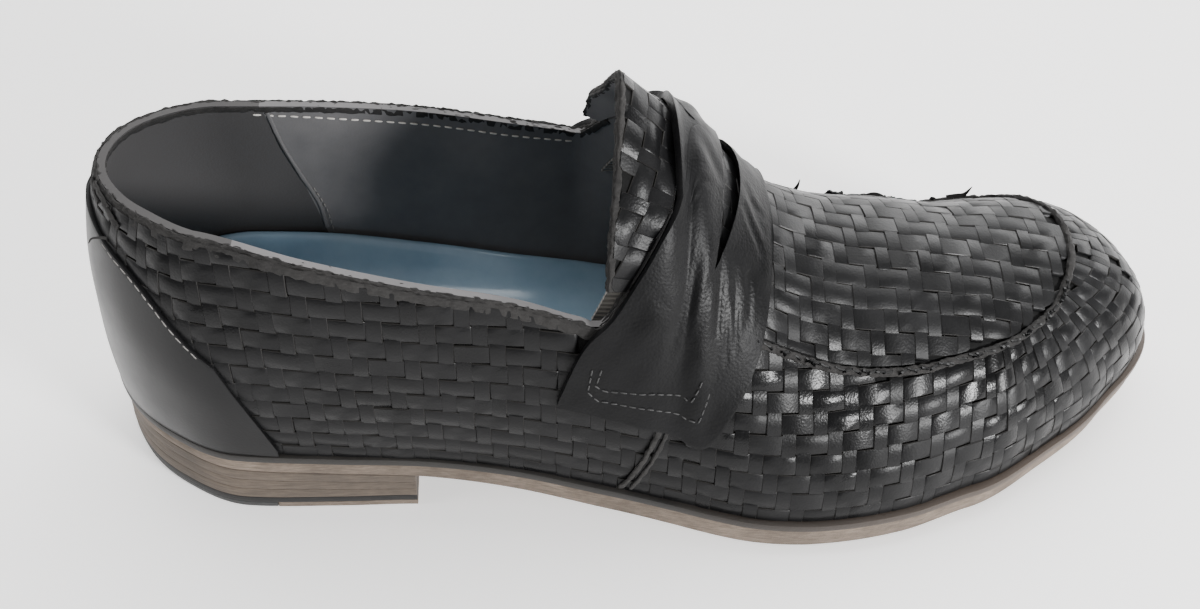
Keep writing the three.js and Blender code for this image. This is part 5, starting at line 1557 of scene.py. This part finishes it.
def buildInsole():
    s = ringOf(footbed["step"], footbed["heelSteps"], footbed["toeSteps"])
    footZ = wallAt(s, [0.0])[:, 0, 2]

    def floorZ(x):
        return soleTopZ(x) + shoe["gap"]

    def rimRow(inset, lift, dips):
        # a row that keeps its distance from the lining at its own height
        p = wallAt(s, upAtZ(s, footZ + lift, shoe["wall"])[:, None], shoe["wall"])[:, 0]
        reach = (p[:, 0] - s["x"]) * s["cos"] + (p[:, 1] - s["mid"]) * s["sin"] - footbed["clear"] - inset
        reach = np.maximum(0, reach)
        x = s["x"] + reach * s["cos"]
        y = s["mid"] + reach * s["sin"]
        return np.stack([x, y, floorZ(x) + lift + segmentDips(x, y, dips)], -1)[:, None]

    rows = [rimRow(0, 0 * s["x"], [])]
    for inset, share in footbed["profile"]:
        x = s["x"] + (s["reach"] - s["ledge"] - inset) * s["cos"]
        rows.append(rimRow(inset, padAt(x) + cupAt(x) * share, footbed["creases"]))
    rows.append(spineRow(s, lambda x: floorZ(x) + padAt(x)))
    skin = newSkin()
    addGrid(skin, np.concatenate(rows, 1), wrap=True)
    addGrid(skin, np.concatenate([spineRow(s, floorZ), rows[0]], 1), wrap=True)
    obj = skinObject("footbed_leather", skin, [insoleLeather])
    return finishPiece(obj, "insole_leather", "insole", sharp=0)


buildInsole()
for helper in (weftFloat, warpFloat):
    bpy.data.objects.remove(helper)
print("footbed built")


# Camera, floor and light. Angles in degrees, distances in millimetres, focal length in pixels.
view = {
    "yaw": -6.76, "elevation": 47.37, "roll": 3.43, "distance": 338.92, "target": (132.29, 0.0, 37.05),
    "focal": 1226.51, "imageWidth": 1200.0, "sensor": 36.0,
}


def buildCamera():
    yaw, tilt, roll = (math.radians(view[key]) for key in ("yaw", "elevation", "roll"))
    back = Vector((math.sin(yaw) * math.cos(tilt), -math.cos(yaw) * math.cos(tilt), math.sin(tilt)))
    right = Vector((math.cos(yaw), math.sin(yaw), 0))
    up = back.cross(right)
    turnedRight = right * math.cos(roll) + up * math.sin(roll)
    turnedUp = up * math.cos(roll) - right * math.sin(roll)
    data = bpy.data.cameras.new("camera")
    data.sensor_width = view["sensor"]
    data.lens = view["focal"] / view["imageWidth"] * data.sensor_width
    data.clip_start = 0.01
    camera = place(bpy.data.objects.new("camera", data))
    eye = Vector(inFrame(view["target"])) + back * view["distance"] * mm
    turn = Matrix((turnedRight, turnedUp, back)).transposed().to_4x4()
    camera.matrix_world = Matrix.Translation(eye) @ turn
    bpy.context.scene.camera = camera


buildCamera()

stage = {"half": 3.0, "below": 0.0002, "colour": (0.93, 0.92, 0.915), "glow": (1.0, 0.995, 0.99), "glowPower": 0.5}


def buildFloor():
    half = stage["half"]
    mesh = bpy.data.meshes.new("floor")
    mesh.from_pydata([(-half, -half, 0), (half, -half, 0), (half, half, 0), (-half, half, 0)], [], [[0, 1, 2, 3]])
    material = newMaterial("pale floor", 0.7, Base_Color=colour(stage["colour"]),
                           Emission_Color=colour(stage["glow"]), Emission_Strength=stage["glowPower"])[0]
    mesh.materials.append(material)
    floor = place(bpy.data.objects.new("floor", mesh))
    floor.location.z = -stage["below"]


buildFloor()

# Lamps: place and aim in metres, width, height, watts
lamps = {
    "overhead softbox": [(0.15, 0.75, 1.25), (0.1, 0.0, 0.05), 2.2, 1.5, 42.0],
    "left softbox": [(-0.9, -0.1, 0.6), (0.0, 0.0, 0.04), 0.5, 0.5, 4.0],
    "toe lamp": [(0.79, -0.66, 0.36), (0.17, -0.038, 0.038), 0.22, 0.12, 18.0],
    "far side softbox": [(0.9, 0.8, 0.4), (0.12, 0.0, 0.06), 1.2, 0.6, 13.0],
}
for name, (spot, aim, width, height, power) in lamps.items():
    data = bpy.data.lights.new(name, "AREA")
    data.shape = "RECTANGLE"
    data.size, data.size_y, data.energy = width, height, power
    lamp = place(bpy.data.objects.new(name, data))
    lamp.location = spot
    lamp.rotation_euler = (Vector(spot) - Vector(aim)).to_track_quat("Z", "Y").to_euler()

world = bpy.data.worlds.new("studio")
world.use_nodes = True
backdrop = world.node_tree.nodes["Background"]
backdrop.inputs["Color"].default_value = (1, 1, 1, 1)
backdrop.inputs["Strength"].default_value = 0.42
bpy.context.scene.world = world
